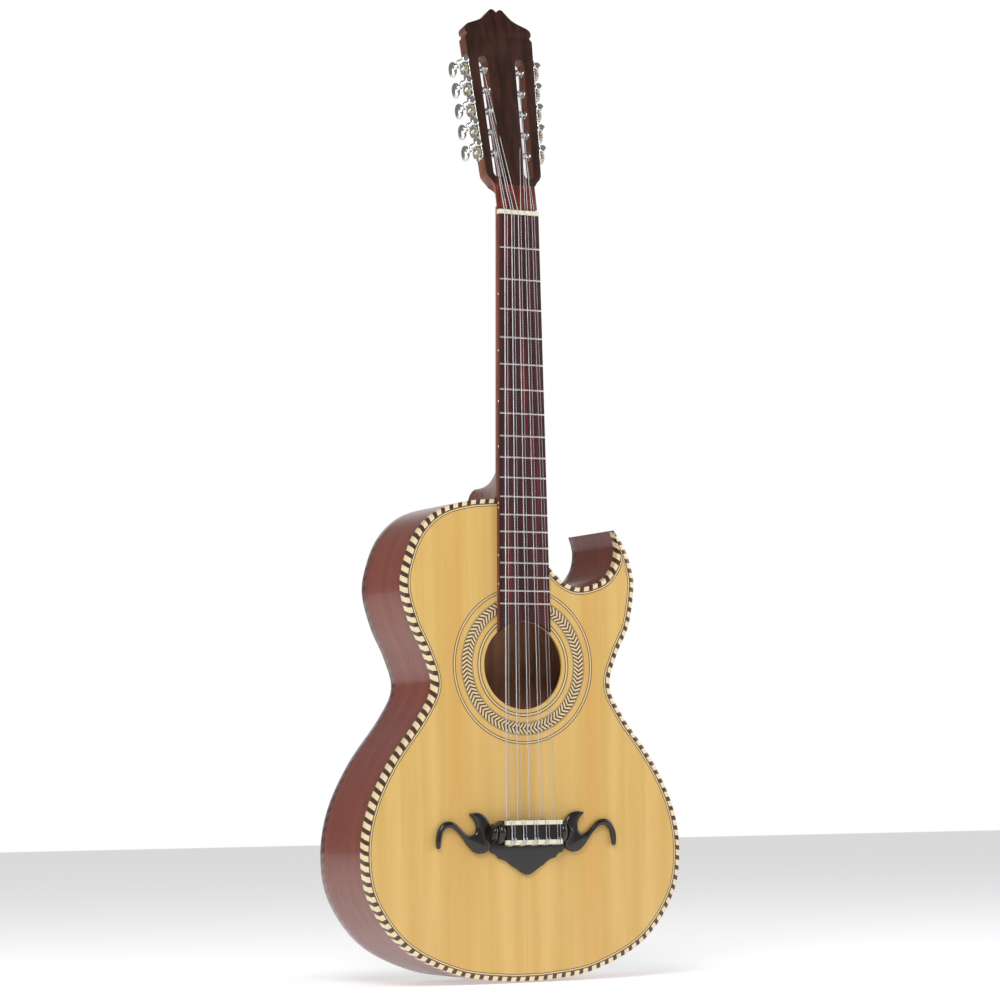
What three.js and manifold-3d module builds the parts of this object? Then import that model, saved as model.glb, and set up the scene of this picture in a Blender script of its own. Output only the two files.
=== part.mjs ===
// Bajo quinto: a five-course, ten-string folk guitar with a single cutaway, a moustache bridge and a
// slotted headstock. Millimetres. +Z runs up the neck, +X is the treble (cutaway) side, +Y is backwards.
// The origin is the middle of the small flat at the tail end, half way through the body's depth there.
import * as THREE from 'three';
import { mergeVertices } from 'three/addons/utils/BufferGeometryUtils.js';
import Module from 'manifold-3d';

const wasm = await Module();
wasm.setup();

// ---------- driving dimensions ----------
const SCALE_LENGTH = 650;
const NUT_Z = 819.2;
const FRET_COUNT = 18;
const GAP = 0.3;                 // clearance between glued neighbours
const FAR = 700;                 // a length past the whole body, for cutting tools

const TOP_FACE_Y = -57;          // front of the soundboard
const TAIL_DEPTH = 114;
const DEPTH_LOSS_PER_MM = 0.10526 / 500;   // the body gets thinner towards the neck
const BACK_Y = TOP_FACE_Y + TAIL_DEPTH;
const PLATE = 3;                 // soundboard and back
const SIDE = 3;                  // bent sides
const BINDING_FACE = 5;          // binding seen from the front
const BINDING_SKIRT = 1.8;       // binding seen on the side: its thickness there
const BINDING_DEPTH = 11;        // and its height
const LINING_IN = 12;
const LINING_DEPTH = 12;
const OUTLINE_STEP = 20;

const HOLE_Z = 333.5;
const HOLE_R = 46.8;
const ROSETTE_IN = 50.9;
const ROSETTE_OUT = 84;
const ROSETTE_DEPTH = 1;

const BODY_END_Z = 511.3;
const BLOCK_HALF = 28.4;
const BLOCK_Z = 452;
const TAIL_FLAT = 18;

const BOARD_THICK = 6.5;
const BOARD_END_R = 47.4;
const BOARD_HALF_AT_NUT = 23.9;
const BOARD_HALF_PER_MM = 0.01538;
const BOARD_FACE_Y = TOP_FACE_Y - BOARD_THICK;
const FRET_HALF_WIDTH = 1;
const FRET_HEIGHT = 1;

const NUT_THICK = 5;
const NUT_TOP_Y = -64.9;
const NECK_TOP_Z = 829;
const NECK_DEPTH_AT_NUT = 15.5;
const NECK_DEPTH_AT_BODY = 19;
const HEEL_BACK_Y = 41;
const HEEL_CAP = 2.2;

const HEAD_TILT = THREE.MathUtils.degToRad(11);
const HEAD_FACE = new THREE.Vector3(0, -61, 825.5);
const HEAD_THICK = 17;
const HEAD_BLEND = { from: 18, to: 36, half: 24.2 };    // where the neck's round back opens into the square slab
const VENEER = 1.8;
const VENEER_START = 28.5;
const RAIL_START = { half: 34, s: 55 };    // the straight edge that each tuner plate lies on
const RAIL_SLOPE = 0.048;
const SLOT_R = 5.9;
const SLOT_LOW = { u: 18.8, s: 41.9 };
const SLOT_HIGH = { u: 22.5, s: 172 };

const TUNER_S = [65, 89.5, 114, 138.5, 163];
const ROLLER_T = 7;              // roller axis behind the headstock's face
const ROLLER_R = 5;
const SHAFT_R = 3;
const GEAR_R = 6.4;
const GEAR_NEAR = 2.6;
const GEAR_FAR = 6.6;
const WORM_R = 2.4;
const WORM_OUT = 4.6;            // worm axis outside the rail's edge
const WORM_UP = GEAR_R + WORM_R + GAP;
const BUTTON_T = 32;
const BUTTON = { lateral: 3.5, deep: 7, tall: 8.8 };

const COURSES = 5;
const NUT_COURSE = 8.3;
const NUT_PAIR = 1.6;
const BRIDGE_COURSE = 13.7;
const BRIDGE_PAIR = 1.8;
const STRING_R = 0.45;
const STRING_HOLE_Y = -68.4;     // where the strings enter the bridge's barrel
const BARREL = { top: -77.6, bone: -78, boneDepth: 6, axisY: -66.6, axisZ: 156.4, endR: 10.8, endHalf: 47 };
const FRONT_BONE_LOW = 164.4;
const REAR_BONE_HIGH = 148.6;
const SADDLE_Z = NUT_Z - SCALE_LENGTH;
const WING_THICK = 5.5;
const BLOCK = { half: 33.4, low: 143.6, high: 169.1 };

const sides = { bass: -1, treble: 1 };
const at = (x, z) => new THREE.Vector2(x, z);
const boardHalf = (z) => BOARD_HALF_AT_NUT + BOARD_HALF_PER_MM * (NUT_Z - z);
const fretZ = (n) => NUT_Z - SCALE_LENGTH * (1 - 2 ** (-n / 12));

// ---------- solids ----------
function toSolid(geometry) {
  const bare = geometry.clone();
  bare.deleteAttribute('normal');
  bare.deleteAttribute('uv');
  const merged = mergeVertices(bare, 1e-4);
  return new wasm.Manifold(new wasm.Mesh({
    numProp: 3,
    vertProperties: new Float32Array(merged.attributes.position.array),
    triVerts: new Uint32Array(merged.index.array),
  }));
}

function toGeometry(solid) {
  const mesh = solid.getMesh();
  const geometry = new THREE.BufferGeometry();
  geometry.setAttribute('position', new THREE.BufferAttribute(new Float32Array(mesh.vertProperties), 3));
  geometry.setIndex(new THREE.BufferAttribute(new Uint32Array(mesh.triVerts), 1));
  return geometry;
}

const join = (geometries) => toGeometry(geometries.map(toSolid).reduce((a, b) => a.add(b)));
const cut = (geometry, tools) => toGeometry(tools.map(toSolid).reduce((a, b) => a.subtract(b), toSolid(geometry)));
const common = (a, b) => toGeometry(toSolid(a).intersect(toSolid(b)));

function moveVertices(geometry, rule) {
  const place = geometry.attributes.position;
  const point = new THREE.Vector3();
  for (let i = 0; i < place.count; i += 1) {
    rule(point.fromBufferAttribute(place, i));
    place.setXYZ(i, point.x, point.y, point.z);
  }
  return geometry;
}

// A flat piece drawn in the x-z plane, from the front face at yFront to the back face at yBack.
function plate(shape, yFront, yBack, curveSegments = 12) {
  const options = { depth: yBack - yFront, bevelEnabled: false, curveSegments };
  return new THREE.ExtrudeGeometry(shape, options).rotateX(Math.PI / 2).translate(0, yBack, 0);
}

function box(x0, x1, y0, y1, z0, z1) {
  return new THREE.BoxGeometry(x1 - x0, y1 - y0, z1 - z0).translate((x0 + x1) / 2, (y0 + y1) / 2, (z0 + z1) / 2);
}

// Everything in the body narrows towards the neck, measured from the soundboard's face.
function tapered(geometry) {
  return moveVertices(geometry, (p) => {
    p.y = TOP_FACE_Y + (p.y - TOP_FACE_Y) * (1 - DEPTH_LOSS_PER_MM * p.z);
  });
}

function ring(outer, inner) {
  const shape = new THREE.Shape(outer);
  shape.holes.push(new THREE.Path(inner));
  return shape;
}

function disc(x, z, r) {
  const shape = new THREE.Shape();
  shape.absarc(x, z, r, 0, 2 * Math.PI);
  return shape;
}

// ---------- body outline ----------
const lowerBout = [at(TAIL_FLAT, 0), at(80, 8.5), at(142, 37.7), at(179.4, 85), at(189.3, 133), at(181.6, 182),
  at(157.4, 231), at(121, 280), at(105.7, 312), at(114.8, 345), at(130.5, 377.6)];
const treblePoints = [...lowerBout, at(137.8, 420), at(134.4, 443), at(126, 464), at(114, 481)];
const bassPoints = [...lowerBout, at(140.5, 415), at(135, 447), at(121, 476), at(97, 497.5), at(64, 508),
  at(28, BODY_END_Z)];
const cutawayPoints = [at(114, 481), at(118.5, 462), at(114, 442), at(98.5, 425.5), at(71, 418), at(50, 424.5),
  at(30, 443)];

function smooth(points, step) {
  const curve = new THREE.SplineCurve(points);
  return curve.getSpacedPoints(Math.round(curve.getLength() / step));
}

const bassEdge = smooth(bassPoints, OUTLINE_STEP).map((p) => at(-p.x, p.y)).reverse();
const outline = [
  ...smooth(treblePoints, OUTLINE_STEP),
  ...smooth(cutawayPoints, OUTLINE_STEP * 0.7).slice(1),
  at(28.9, BODY_END_Z),
  ...bassEdge,
];

function crossing(a, b, c, d) {
  const r = b.clone().sub(a);
  const s = d.clone().sub(c);
  const area = r.cross(s);
  const t = c.clone().sub(a).cross(s) / area;
  const u = c.clone().sub(a).cross(r) / area;
  return t > 0 && t < 1 && u > 0 && u < 1 ? a.clone().addScaledVector(r, t) : null;
}

// The outline moved inwards, with the small loops that form at sharp corners cut off.
function inset(points, distance) {
  const count = points.length;
  let moved = points.map((p, i) => {
    const before = p.clone().sub(points[(i + count - 1) % count]).normalize();
    const after = points[(i + 1) % count].clone().sub(p).normalize();
    const normal = at(-before.y - after.y, before.x + after.x).normalize();
    const stretch = Math.max(0.3, normal.dot(at(-after.y, after.x)));
    return p.clone().addScaledVector(normal, distance / stretch);
  });
  for (let i = 0; i < moved.length - 2; i += 1) {
    for (let j = Math.min(i + 12, moved.length - 2); j > i + 1; j -= 1) {
      const meet = crossing(moved[i], moved[i + 1], moved[j], moved[j + 1]);
      if (meet) {
        moved = [...moved.slice(0, i + 1), meet, ...moved.slice(j + 1)];
        break;
      }
    }
  }
  return moved;
}

// ---------- body ----------
const neckSeat = () => box(-BLOCK_HALF - GAP, 31, -FAR, FAR, 440, BODY_END_Z + 9);
const plateOutline = inset(outline, BINDING_FACE + GAP);
const plateShape = () => new THREE.Shape(plateOutline);
const neckTongue = (y0, y1) => box(-BLOCK_HALF, BLOCK_HALF, y0, y1, BODY_END_Z - 20, BODY_END_Z);

function soundboard() {
  const whole = join([
    plate(plateShape(), TOP_FACE_Y, TOP_FACE_Y + PLATE),
    neckTongue(TOP_FACE_Y, TOP_FACE_Y + PLATE),
  ]);
  const recess = ring(disc(0, HOLE_Z, ROSETTE_OUT + GAP).getPoints(24), disc(0, HOLE_Z, ROSETTE_IN - GAP).getPoints(24));
  return tapered(cut(whole, [
    plate(disc(0, HOLE_Z, HOLE_R), -FAR, FAR, 24),
    plate(recess, TOP_FACE_Y - 1, TOP_FACE_Y + ROSETTE_DEPTH + GAP),
  ]));
}

function rosette() {
  const shape = ring(disc(0, HOLE_Z, ROSETTE_OUT).getPoints(24), disc(0, HOLE_Z, ROSETTE_IN).getPoints(24));
  return tapered(plate(shape, TOP_FACE_Y, TOP_FACE_Y + ROSETTE_DEPTH));
}

function back() {
  return tapered(join([plate(plateShape(), BACK_Y - PLATE, BACK_Y), neckTongue(BACK_Y - PLATE, BACK_Y)]));
}

// A face strip beside the plate and a skirt down the side, in one L-shaped band.
function binding(faceFront, faceBack, skirtFront, skirtBack) {
  const face = plate(ring(outline, inset(outline, BINDING_FACE)), faceFront, faceBack);
  const skirt = plate(ring(outline, inset(outline, BINDING_SKIRT)), skirtFront, skirtBack);
  return tapered(cut(join([face, skirt]), [neckSeat()]));
}

function wall() {
  const skin = ring(outline, inset(outline, SIDE));
  const tongue = ring(inset(outline, BINDING_SKIRT + GAP), inset(outline, SIDE + 0.9));
  const top = TOP_FACE_Y + BINDING_DEPTH + GAP;
  const bottom = BACK_Y - BINDING_DEPTH - GAP;
  const inner = plate(tongue, TOP_FACE_Y + PLATE + GAP, BACK_Y - PLATE - GAP);
  return cut(join([plate(skin, top, bottom), inner]), [neckSeat()]);
}

// The part of the wall between the tip of the horn and the neck.
const cutawayShape = () => new THREE.Shape([at(108, 490), at(114, 481), at(124, 463.7), at(127, 448),
  at(122, 430), at(100, 405), at(60, 400), at(26, 420), at(26, 490)]);
const GRAFT_HALF = 6;

const sideBass = () => tapered(cut(wall(), [box(-GRAFT_HALF - GAP, FAR, -FAR, FAR, -FAR, FAR)]));

function sideTreble() {
  return tapered(cut(wall(), [
    box(-FAR, GRAFT_HALF + GAP, -FAR, FAR, -FAR, FAR),
    plate(cutawayShape(), -FAR, FAR),
    box(0, 110, -FAR, FAR, 400, FAR),
  ]));
}

function sideCutaway() {
  const region = new THREE.Shape(inset(cutawayShape().getPoints().reverse(), GAP));
  return tapered(common(wall(), plate(region, -FAR, FAR)));
}

const tailGraft = () => tapered(common(wall(), box(-GRAFT_HALF, GRAFT_HALF, -FAR, FAR, -5, 20)));

function lining(y0, y1) {
  const shape = ring(inset(outline, SIDE + 1.2 + BINDING_SKIRT), inset(outline, LINING_IN));
  return tapered(cut(plate(shape, y0, y1), [neckSeat()]));
}

const TAIL_BLOCK_HALF = 32;
const INNER_TOP = TOP_FACE_Y + PLATE + GAP;
const INNER_BACK = BACK_Y - PLATE - GAP;
const neckBlock = () => tapered(box(-BLOCK_HALF, 28.4, INNER_TOP, INNER_BACK, BLOCK_Z, BODY_END_Z));
const tailBlock = () => tapered(box(-TAIL_BLOCK_HALF, TAIL_BLOCK_HALF,
  INNER_TOP + LINING_DEPTH + GAP, INNER_BACK - LINING_DEPTH - GAP, 8.2, 24));

// A brace is a bar across or along the box, cut to length where the lining starts.
function brace(x0, x1, z0, z1, deep, onBack) {
  const y0 = onBack ? INNER_BACK - deep : INNER_TOP;
  const room = plate(new THREE.Shape(inset(outline, LINING_IN + GAP)), -FAR, FAR);
  return tapered(common(box(x0, x1, y0, y0 + deep, z0, z1), room));
}

// ---------- neck ----------
function unitD() {
  const shape = new THREE.Shape();
  shape.moveTo(1, 0);
  shape.absellipse(0, 0, 1, 1, 0, Math.PI, false);
  shape.closePath();
  return shape;
}

function swept(shape, steps, rule) {
  const options = { depth: 1, steps, bevelEnabled: false, curveSegments: 10 };
  return moveVertices(new THREE.ExtrudeGeometry(shape, options), rule);
}

function neckShaft() {
  const start = BODY_END_Z + GAP;
  return swept(unitD(), 3, (p) => {
    const z = start + p.z * (NECK_TOP_Z - start);
    const deep = NECK_DEPTH_AT_BODY + p.z * (NECK_DEPTH_AT_NUT - NECK_DEPTH_AT_BODY);
    p.set(p.x * boardHalf(Math.min(z, NUT_Z)), TOP_FACE_Y + deep * p.y, z);
  });
}

// The heel: a tongue against the body's end, wide and tall at the front and small at the back.
function heel() {
  const frontY = TOP_FACE_Y + 4;
  const start = BODY_END_Z + GAP;
  return swept(unitD(), 6, (p) => {
    const share = p.z;
    const half = THREE.MathUtils.lerp(boardHalf(start) - 0.5, 13, Math.sin(share * Math.PI / 2));
    const tall = THREE.MathUtils.lerp(70, 20, 1 - (1 - share) ** 2.6);
    p.set(-p.x * half, frontY + share * (HEEL_BACK_Y - frontY), start + p.y * tall);
  });
}

const heelCap = () => swept(unitD(), 1, (p) => {
  p.set(-p.x * 13, HEEL_BACK_Y + p.z * HEEL_CAP, BODY_END_Z + GAP + p.y * 20);
});

// ---------- headstock, in its own frame: x across, y into the wood from the face, z up the face ----------
const head = new THREE.Group();
head.position.copy(HEAD_FACE);
head.rotation.x = -HEAD_TILT;
head.updateMatrixWorld(true);

const railAngle = Math.atan(RAIL_SLOPE);
const rails = {};
for (const [name, side] of Object.entries(sides)) {
  const rail = new THREE.Group();
  rail.position.set(side * RAIL_START.half, 0, RAIL_START.s);
  rail.rotation.y = side * railAngle;
  head.add(rail);
  rail.updateMatrixWorld(true);
  rails[name] = rail;
}

function headOutline(start) {
  const shape = new THREE.Shape();
  const railHalf = (s) => RAIL_START.half + RAIL_SLOPE * (s - RAIL_START.s);
  const right = [at(23.9, start), at(24.4, 29), at(30.5, 35), at(railHalf(45), 45), at(railHalf(199), 199), at(38, 203),
    at(40.4, 207), at(39.5, 211.5), at(35.5, 215), at(26.5, 219.3), at(17, 225), at(11, 231.5), at(7.6, 235),
    at(5.3, 235.7), at(2.6, 234.8), at(0, 232.6)].filter((p) => p.y >= start);
  shape.setFromPoints([...right, ...right.slice(0, -1).reverse().map((p) => at(-p.x, p.y))]);
  return shape;
}

function slotCutter(side) {
  const low = at(side * SLOT_LOW.u, SLOT_LOW.s);
  const high = at(side * SLOT_HIGH.u, SLOT_HIGH.s);
  const turn = high.clone().sub(low).angle();
  const shape = new THREE.Shape();
  shape.absarc(low.x, low.y, SLOT_R, turn + Math.PI / 2, turn + Math.PI * 1.5);
  shape.absarc(high.x, high.y, SLOT_R, turn - Math.PI / 2, turn + Math.PI / 2);
  return plate(shape, -5, HEAD_THICK + 5, 6);
}

// How far inside the rail's edge the slot's walls are at a roller.
function slotWalls(s) {
  const share = (s - SLOT_LOW.s) / (SLOT_HIGH.s - SLOT_LOW.s);
  const centre = THREE.MathUtils.lerp(SLOT_LOW.u, SLOT_HIGH.u, share);
  const edge = RAIL_START.half + RAIL_SLOPE * (s - RAIL_START.s);
  return { outer: centre + SLOT_R - edge, inner: centre - SLOT_R - edge };
}

function alongX(r, x0, x1, segments) {
  return new THREE.CylinderGeometry(r, r, x1 - x0, segments).rotateZ(Math.PI / 2).translate((x0 + x1) / 2, 0, 0);
}

function rollerHole(name, side, s) {
  const walls = slotWalls(s);
  const inner = side * (walls.inner - 3.4);
  const hole = alongX(SHAFT_R + 0.4, Math.min(inner, side * 4), Math.max(inner, side * 4), 8);
  hole.translate(0, ROLLER_T, s - RAIL_START.s);
  rails[name].updateMatrix();
  return hole.applyMatrix4(rails[name].matrix);
}

function headHoles() {
  const tools = [slotCutter(-1), slotCutter(1)];
  for (const [name, side] of Object.entries(sides)) {
    for (const s of TUNER_S) tools.push(rollerHole(name, side, s));
  }
  return tools;
}

// Everything behind the face that the neck's round back leaves at the headstock's lower end.
function roundedBack() {
  const steps = 6;
  const lower = swept(unitD(), steps, (p) => {
    const z = THREE.MathUtils.lerp(-2, HEAD_BLEND.to, p.z);
    const open = Math.max(0, (z - HEAD_BLEND.from) / (HEAD_BLEND.to - HEAD_BLEND.from));
    const grow = 1 + 0.9 * open ** 1.5;
    p.set(p.x * HEAD_BLEND.half * grow, HEAD_THICK * grow * p.y, z);
  });
  return join([lower, box(-FAR, FAR, 0, HEAD_THICK, HEAD_BLEND.to - GAP, FAR)]);
}

function headWood() {
  const blank = join([
    plate(headOutline(0), VENEER + GAP, HEAD_THICK),
    box(-BOARD_HALF_AT_NUT, BOARD_HALF_AT_NUT, 0, VENEER + 1, 0, VENEER_START - GAP),
  ]);
  return cut(common(blank, roundedBack()), headHoles());
}

function veneer() {
  const outlineAbove = common(
    plate(headOutline(0), 0, VENEER),
    box(-60, 60, -1, HEAD_THICK, VENEER_START, 300),
  );
  return cut(outlineAbove, headHoles());
}

const neckWood = () => join([neckShaft(), heel(), headWood().applyMatrix4(head.matrixWorld)]);

function fingerboard() {
  const end = disc(0, HOLE_Z, BOARD_END_R);
  const low = 345;
  const shape = new THREE.Shape([at(-boardHalf(low), low), at(boardHalf(low), low),
    at(BOARD_HALF_AT_NUT, NUT_Z), at(-BOARD_HALF_AT_NUT, NUT_Z)]);
  const board = cut(plate(shape, BOARD_FACE_Y, TOP_FACE_Y), [plate(end, -FAR, FAR, 24)]);
  const frets = [];
  for (let n = 1; n <= FRET_COUNT; n += 1) {
    const half = boardHalf(fretZ(n)) - 0.5;
    frets.push(box(-half, half, BOARD_FACE_Y - FRET_HEIGHT, BOARD_FACE_Y + 1,
      fretZ(n) - FRET_HALF_WIDTH, fretZ(n) + FRET_HALF_WIDTH));
  }
  return join([board, ...frets]);
}

const nut = () => box(-BOARD_HALF_AT_NUT, BOARD_HALF_AT_NUT, NUT_TOP_Y, TOP_FACE_Y, NUT_Z, NUT_Z + NUT_THICK);

// ---------- bridge ----------
function wingOutline() {
  const shape = new THREE.Shape();
  shape.moveTo(0, 111.5);
  shape.quadraticCurveTo(9, 114, 12.7, 117.7);
  shape.quadraticCurveTo(20, 120, 23, 124.7);
  shape.quadraticCurveTo(30, 126, 35.5, 131);
  shape.lineTo(44.6, 139);
  shape.quadraticCurveTo(49, 134, 57.7, 134.8);
  shape.bezierCurveTo(70, 136, 73, 166, 94.5, 162);
  shape.quadraticCurveTo(104, 160, 106, 141.5);
  shape.bezierCurveTo(113, 158, 107, 170, 94.5, 170);
  shape.bezierCurveTo(78, 170, 77, 154.5, 66.6, 154.5);
  shape.quadraticCurveTo(62, 160, 68, 176);
  shape.quadraticCurveTo(52, 181, 44, 169.5);
  shape.lineTo(0, 169.5);
  return shape;
}

// A tall barrel between two wings. The strings enter its front low down, and bone edges its top.
function bridge() {
  const half = wingOutline().getPoints(5);
  const points = [...half, ...half.slice(1, -1).reverse().map((p) => at(-p.x, p.y))];
  const wings = plate(new THREE.Shape(points), TOP_FACE_Y - WING_THICK, TOP_FACE_Y);
  const block = box(-BLOCK.half, BLOCK.half, BARREL.top, TOP_FACE_Y, BLOCK.low, BLOCK.high);
  const ends = alongX(BARREL.endR, -BARREL.endHalf, BARREL.endHalf, 12).translate(0, BARREL.axisY, BARREL.axisZ);
  const under = box(-FAR, FAR, TOP_FACE_Y, FAR, 0, 300);
  const boneBack = BARREL.bone + BARREL.boneDepth + GAP;
  const seats = [
    box(-BLOCK.half - 1, BLOCK.half + 1, -90, boneBack, FRONT_BONE_LOW - GAP, BLOCK.high + 1),
    box(-BLOCK.half - 1, BLOCK.half + 1, -90, boneBack, BLOCK.low - 1, REAR_BONE_HIGH + GAP),
  ];
  const middle = box(-BLOCK.half, BLOCK.half, -90, FAR, 120, 190);
  return join([wings, cut(block, seats), cut(ends, [under, middle])]);
}

const boneStrip = (z0, z1) => box(-BLOCK.half, BLOCK.half, BARREL.bone, BARREL.bone + BARREL.boneDepth, z0, z1);
const saddle = () => boneStrip(FRONT_BONE_LOW, SADDLE_Z);
const tieBone = () => boneStrip(BLOCK.low, REAR_BONE_HIGH);

// ---------- strings ----------
function rod(a, b) {
  const length = a.distanceTo(b);
  const bar = new THREE.CylinderGeometry(STRING_R, STRING_R, length, 4).translate(0, length / 2, 0);
  const turn = new THREE.Quaternion().setFromUnitVectors(new THREE.Vector3(0, 1, 0), b.clone().sub(a).normalize());
  return bar.applyQuaternion(turn).translate(a.x, a.y, a.z);
}

// Strings are counted from the bass edge. The outer ones go to the rollers nearest the nut.
function stringRoute(index) {
  const course = Math.floor(index / 2) - (COURSES - 1) / 2;
  const pair = index % 2 === 0 ? -1 : 1;
  const nutX = course * NUT_COURSE + pair * NUT_PAIR;
  const bridgeX = course * BRIDGE_COURSE + pair * BRIDGE_PAIR;
  const name = index < COURSES ? 'bass' : 'treble';
  const order = index < COURSES ? index : 2 * COURSES - 1 - index;
  const walls = slotWalls(TUNER_S[order]);
  const clear = STRING_R + GAP;
  const top = new THREE.Vector3(sides[name] * (walls.outer + walls.inner) / 2, ROLLER_T - ROLLER_R - clear - 0.1,
    TUNER_S[order] - RAIL_START.s);
  rails[name].localToWorld(top);
  return [
    new THREE.Vector3(bridgeX, STRING_HOLE_Y, SADDLE_Z + GAP),
    new THREE.Vector3(nutX, NUT_TOP_Y - clear, NUT_Z),
    new THREE.Vector3(nutX, NUT_TOP_Y - clear, NUT_Z + NUT_THICK),
    top,
  ];
}

function string(index) {
  const route = stringRoute(index);
  return join(route.slice(1).map((end, i) => rod(route[i], end)));
}

// ---------- tuners, in the rail's frame: x outwards from the edge, y into the wood, z along the rail ----------
function tunerPlate(side) {
  const near = GAP;
  const far = near + 1.3;
  const across = (d0, d1) => [Math.min(side * d0, side * d1), Math.max(side * d0, side * d1)];
  const parts = [box(...across(near, far), 0.5, 16, 2, 124)];
  const holes = [];
  for (const s of TUNER_S) {
    const z = s - RAIL_START.s;
    for (const [t0, t1] of [[-1.2, 2.7], [11.3, 15.2]]) {
      parts.push(box(...across(near + 0.5, WORM_OUT + 4), t0, t1, z + WORM_UP - 4, z + WORM_UP + 4));
    }
    holes.push(alongX(SHAFT_R + 0.4, -6, 6, 8).translate(0, ROLLER_T, z));
    holes.push(new THREE.CylinderGeometry(2.3, 2.3, 18, 8).translate(side * WORM_OUT, 8.8, z + WORM_UP));
  }
  return cut(join(parts), holes);
}

function roller(side, s) {
  const walls = slotWalls(s);
  const profile = [[0, walls.inner - 3], [2.4, walls.inner - 3], [2.4, walls.inner + 0.5], [ROLLER_R, walls.inner + 0.5],
    [ROLLER_R, walls.outer - 0.5], [SHAFT_R, walls.outer - 0.5], [SHAFT_R, GEAR_NEAR], [GEAR_R, GEAR_NEAR],
    [GEAR_R, GEAR_FAR], [0, GEAR_FAR]];
  const turned = new THREE.LatheGeometry(profile.map(([r, d]) => at(r, d)), 9);
  return turned.rotateZ(-side * Math.PI / 2);
}

function key() {
  const profile = [[0, 0.2], [1.8, 0.2], [1.8, 3.1], [WORM_R, 3.1], [WORM_R, 10.9], [1.8, 10.9], [1.8, BUTTON_T - 3],
    [0, BUTTON_T - 3]];
  const shaft = new THREE.LatheGeometry(profile.map(([r, t]) => at(r, t)), 6);
  const button = new THREE.SphereGeometry(1, 8, 6).rotateX(Math.PI / 2);
  button.scale(BUTTON.lateral, BUTTON.deep, BUTTON.tall).translate(0, BUTTON_T, 0);
  return join([shaft, button]);
}

// ---------- assembly ----------
const finish = {
  spruce: [0xe0bc78, 0.35, 0],
  mahogany: [0x87463c, 0.25, 0],
  red_wood: [0x781e0a, 0.3, 0],
  rosewood: [0x371e19, 0.35, 0],
  ebony: [0x231e1e, 0.2, 0],
  bone: [0xe1dcbe, 0.4, 0],
  mosaic: [0x8c7355, 0.4, 0],
  cedar: [0x9a6a46, 0.7, 0],
  chrome: [0xcfcfcf, 0.2, 1],
  steel: [0xb8b8b4, 0.3, 1],
};
const materials = {};
for (const [name, [color, roughness, metalness]] of Object.entries(finish)) {
  materials[name] = new THREE.MeshStandardMaterial({ color, roughness, metalness });
}

const group = new THREE.Group();
group.add(head);

function add(name, geometry, material, parent = group) {
  const mesh = new THREE.Mesh(geometry, materials[material]);
  mesh.name = name;
  parent.add(mesh);
  return mesh;
}

add('soundboard', soundboard(), 'spruce');
add('rosette', rosette(), 'mosaic');
add('back', back(), 'mahogany');
add('side_bass', sideBass(), 'mahogany');
add('side_treble', sideTreble(), 'mahogany');
add('side_cutaway', sideCutaway(), 'mahogany');
add('tail_graft', tailGraft(), 'mahogany');
add('binding_top', binding(TOP_FACE_Y, TOP_FACE_Y + PLATE, TOP_FACE_Y, TOP_FACE_Y + BINDING_DEPTH), 'mosaic');
add('binding_back', binding(BACK_Y - PLATE, BACK_Y, BACK_Y - BINDING_DEPTH, BACK_Y), 'mosaic');
add('lining_top', lining(INNER_TOP, INNER_TOP + LINING_DEPTH), 'cedar');
add('lining_back', lining(INNER_BACK - LINING_DEPTH, INNER_BACK), 'cedar');
add('neck_block', neckBlock(), 'cedar');
add('tail_block', tailBlock(), 'cedar');
add('brace_top_upper', brace(-FAR, FAR, 388, 396, 12, false), 'cedar');
add('brace_top_lower', brace(-FAR, FAR, 268, 276, 12, false), 'cedar');
add('brace_fan_bass', brace(-55, -48, 40, 262, 6, false), 'cedar');
add('brace_fan_treble', brace(48, 55, 40, 262, 6, false), 'cedar');
add('brace_back_lower', brace(-FAR, FAR, 120, 128, 14, true), 'cedar');
add('brace_back_middle', brace(-FAR, FAR, 268, 276, 14, true), 'cedar');
add('brace_back_upper', brace(-FAR, FAR, 405, 413, 14, true), 'cedar');
add('neck', neckWood(), 'mahogany');
add('heel_cap', heelCap(), 'ebony');
add('headstock_veneer', veneer(), 'rosewood', head);
add('fingerboard', fingerboard(), 'rosewood');
add('nut', nut(), 'bone');
add('bridge', bridge(), 'ebony');
add('saddle', saddle(), 'bone');
add('tie_bone', tieBone(), 'bone');

for (let index = 0; index < 2 * COURSES; index += 1) {
  add(`string_${index + 1}`, string(index), 'steel');
}

for (const [name, side] of Object.entries(sides)) {
  add(`tuner_plate_${name}`, tunerPlate(side), 'chrome', rails[name]);
  TUNER_S.forEach((s, i) => {
    const z = s - RAIL_START.s;
    const gear = add(`roller_${name}_${i + 1}`, roller(side, s), 'chrome', rails[name]);
    gear.position.set(0, ROLLER_T, z);
    const worm = add(`key_${name}_${i + 1}`, key(), 'chrome', rails[name]);
    worm.position.set(side * WORM_OUT, 0, z + WORM_UP);
  });
}

export default group;
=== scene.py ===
"""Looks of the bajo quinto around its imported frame. Lengths are in millimetres until mesh() scales them."""
from math import acos, atan, atan2, copysign, cos, dist, hypot, pi, radians, sin

import bmesh
import bpy
from mathutils import Matrix, Vector


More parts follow.
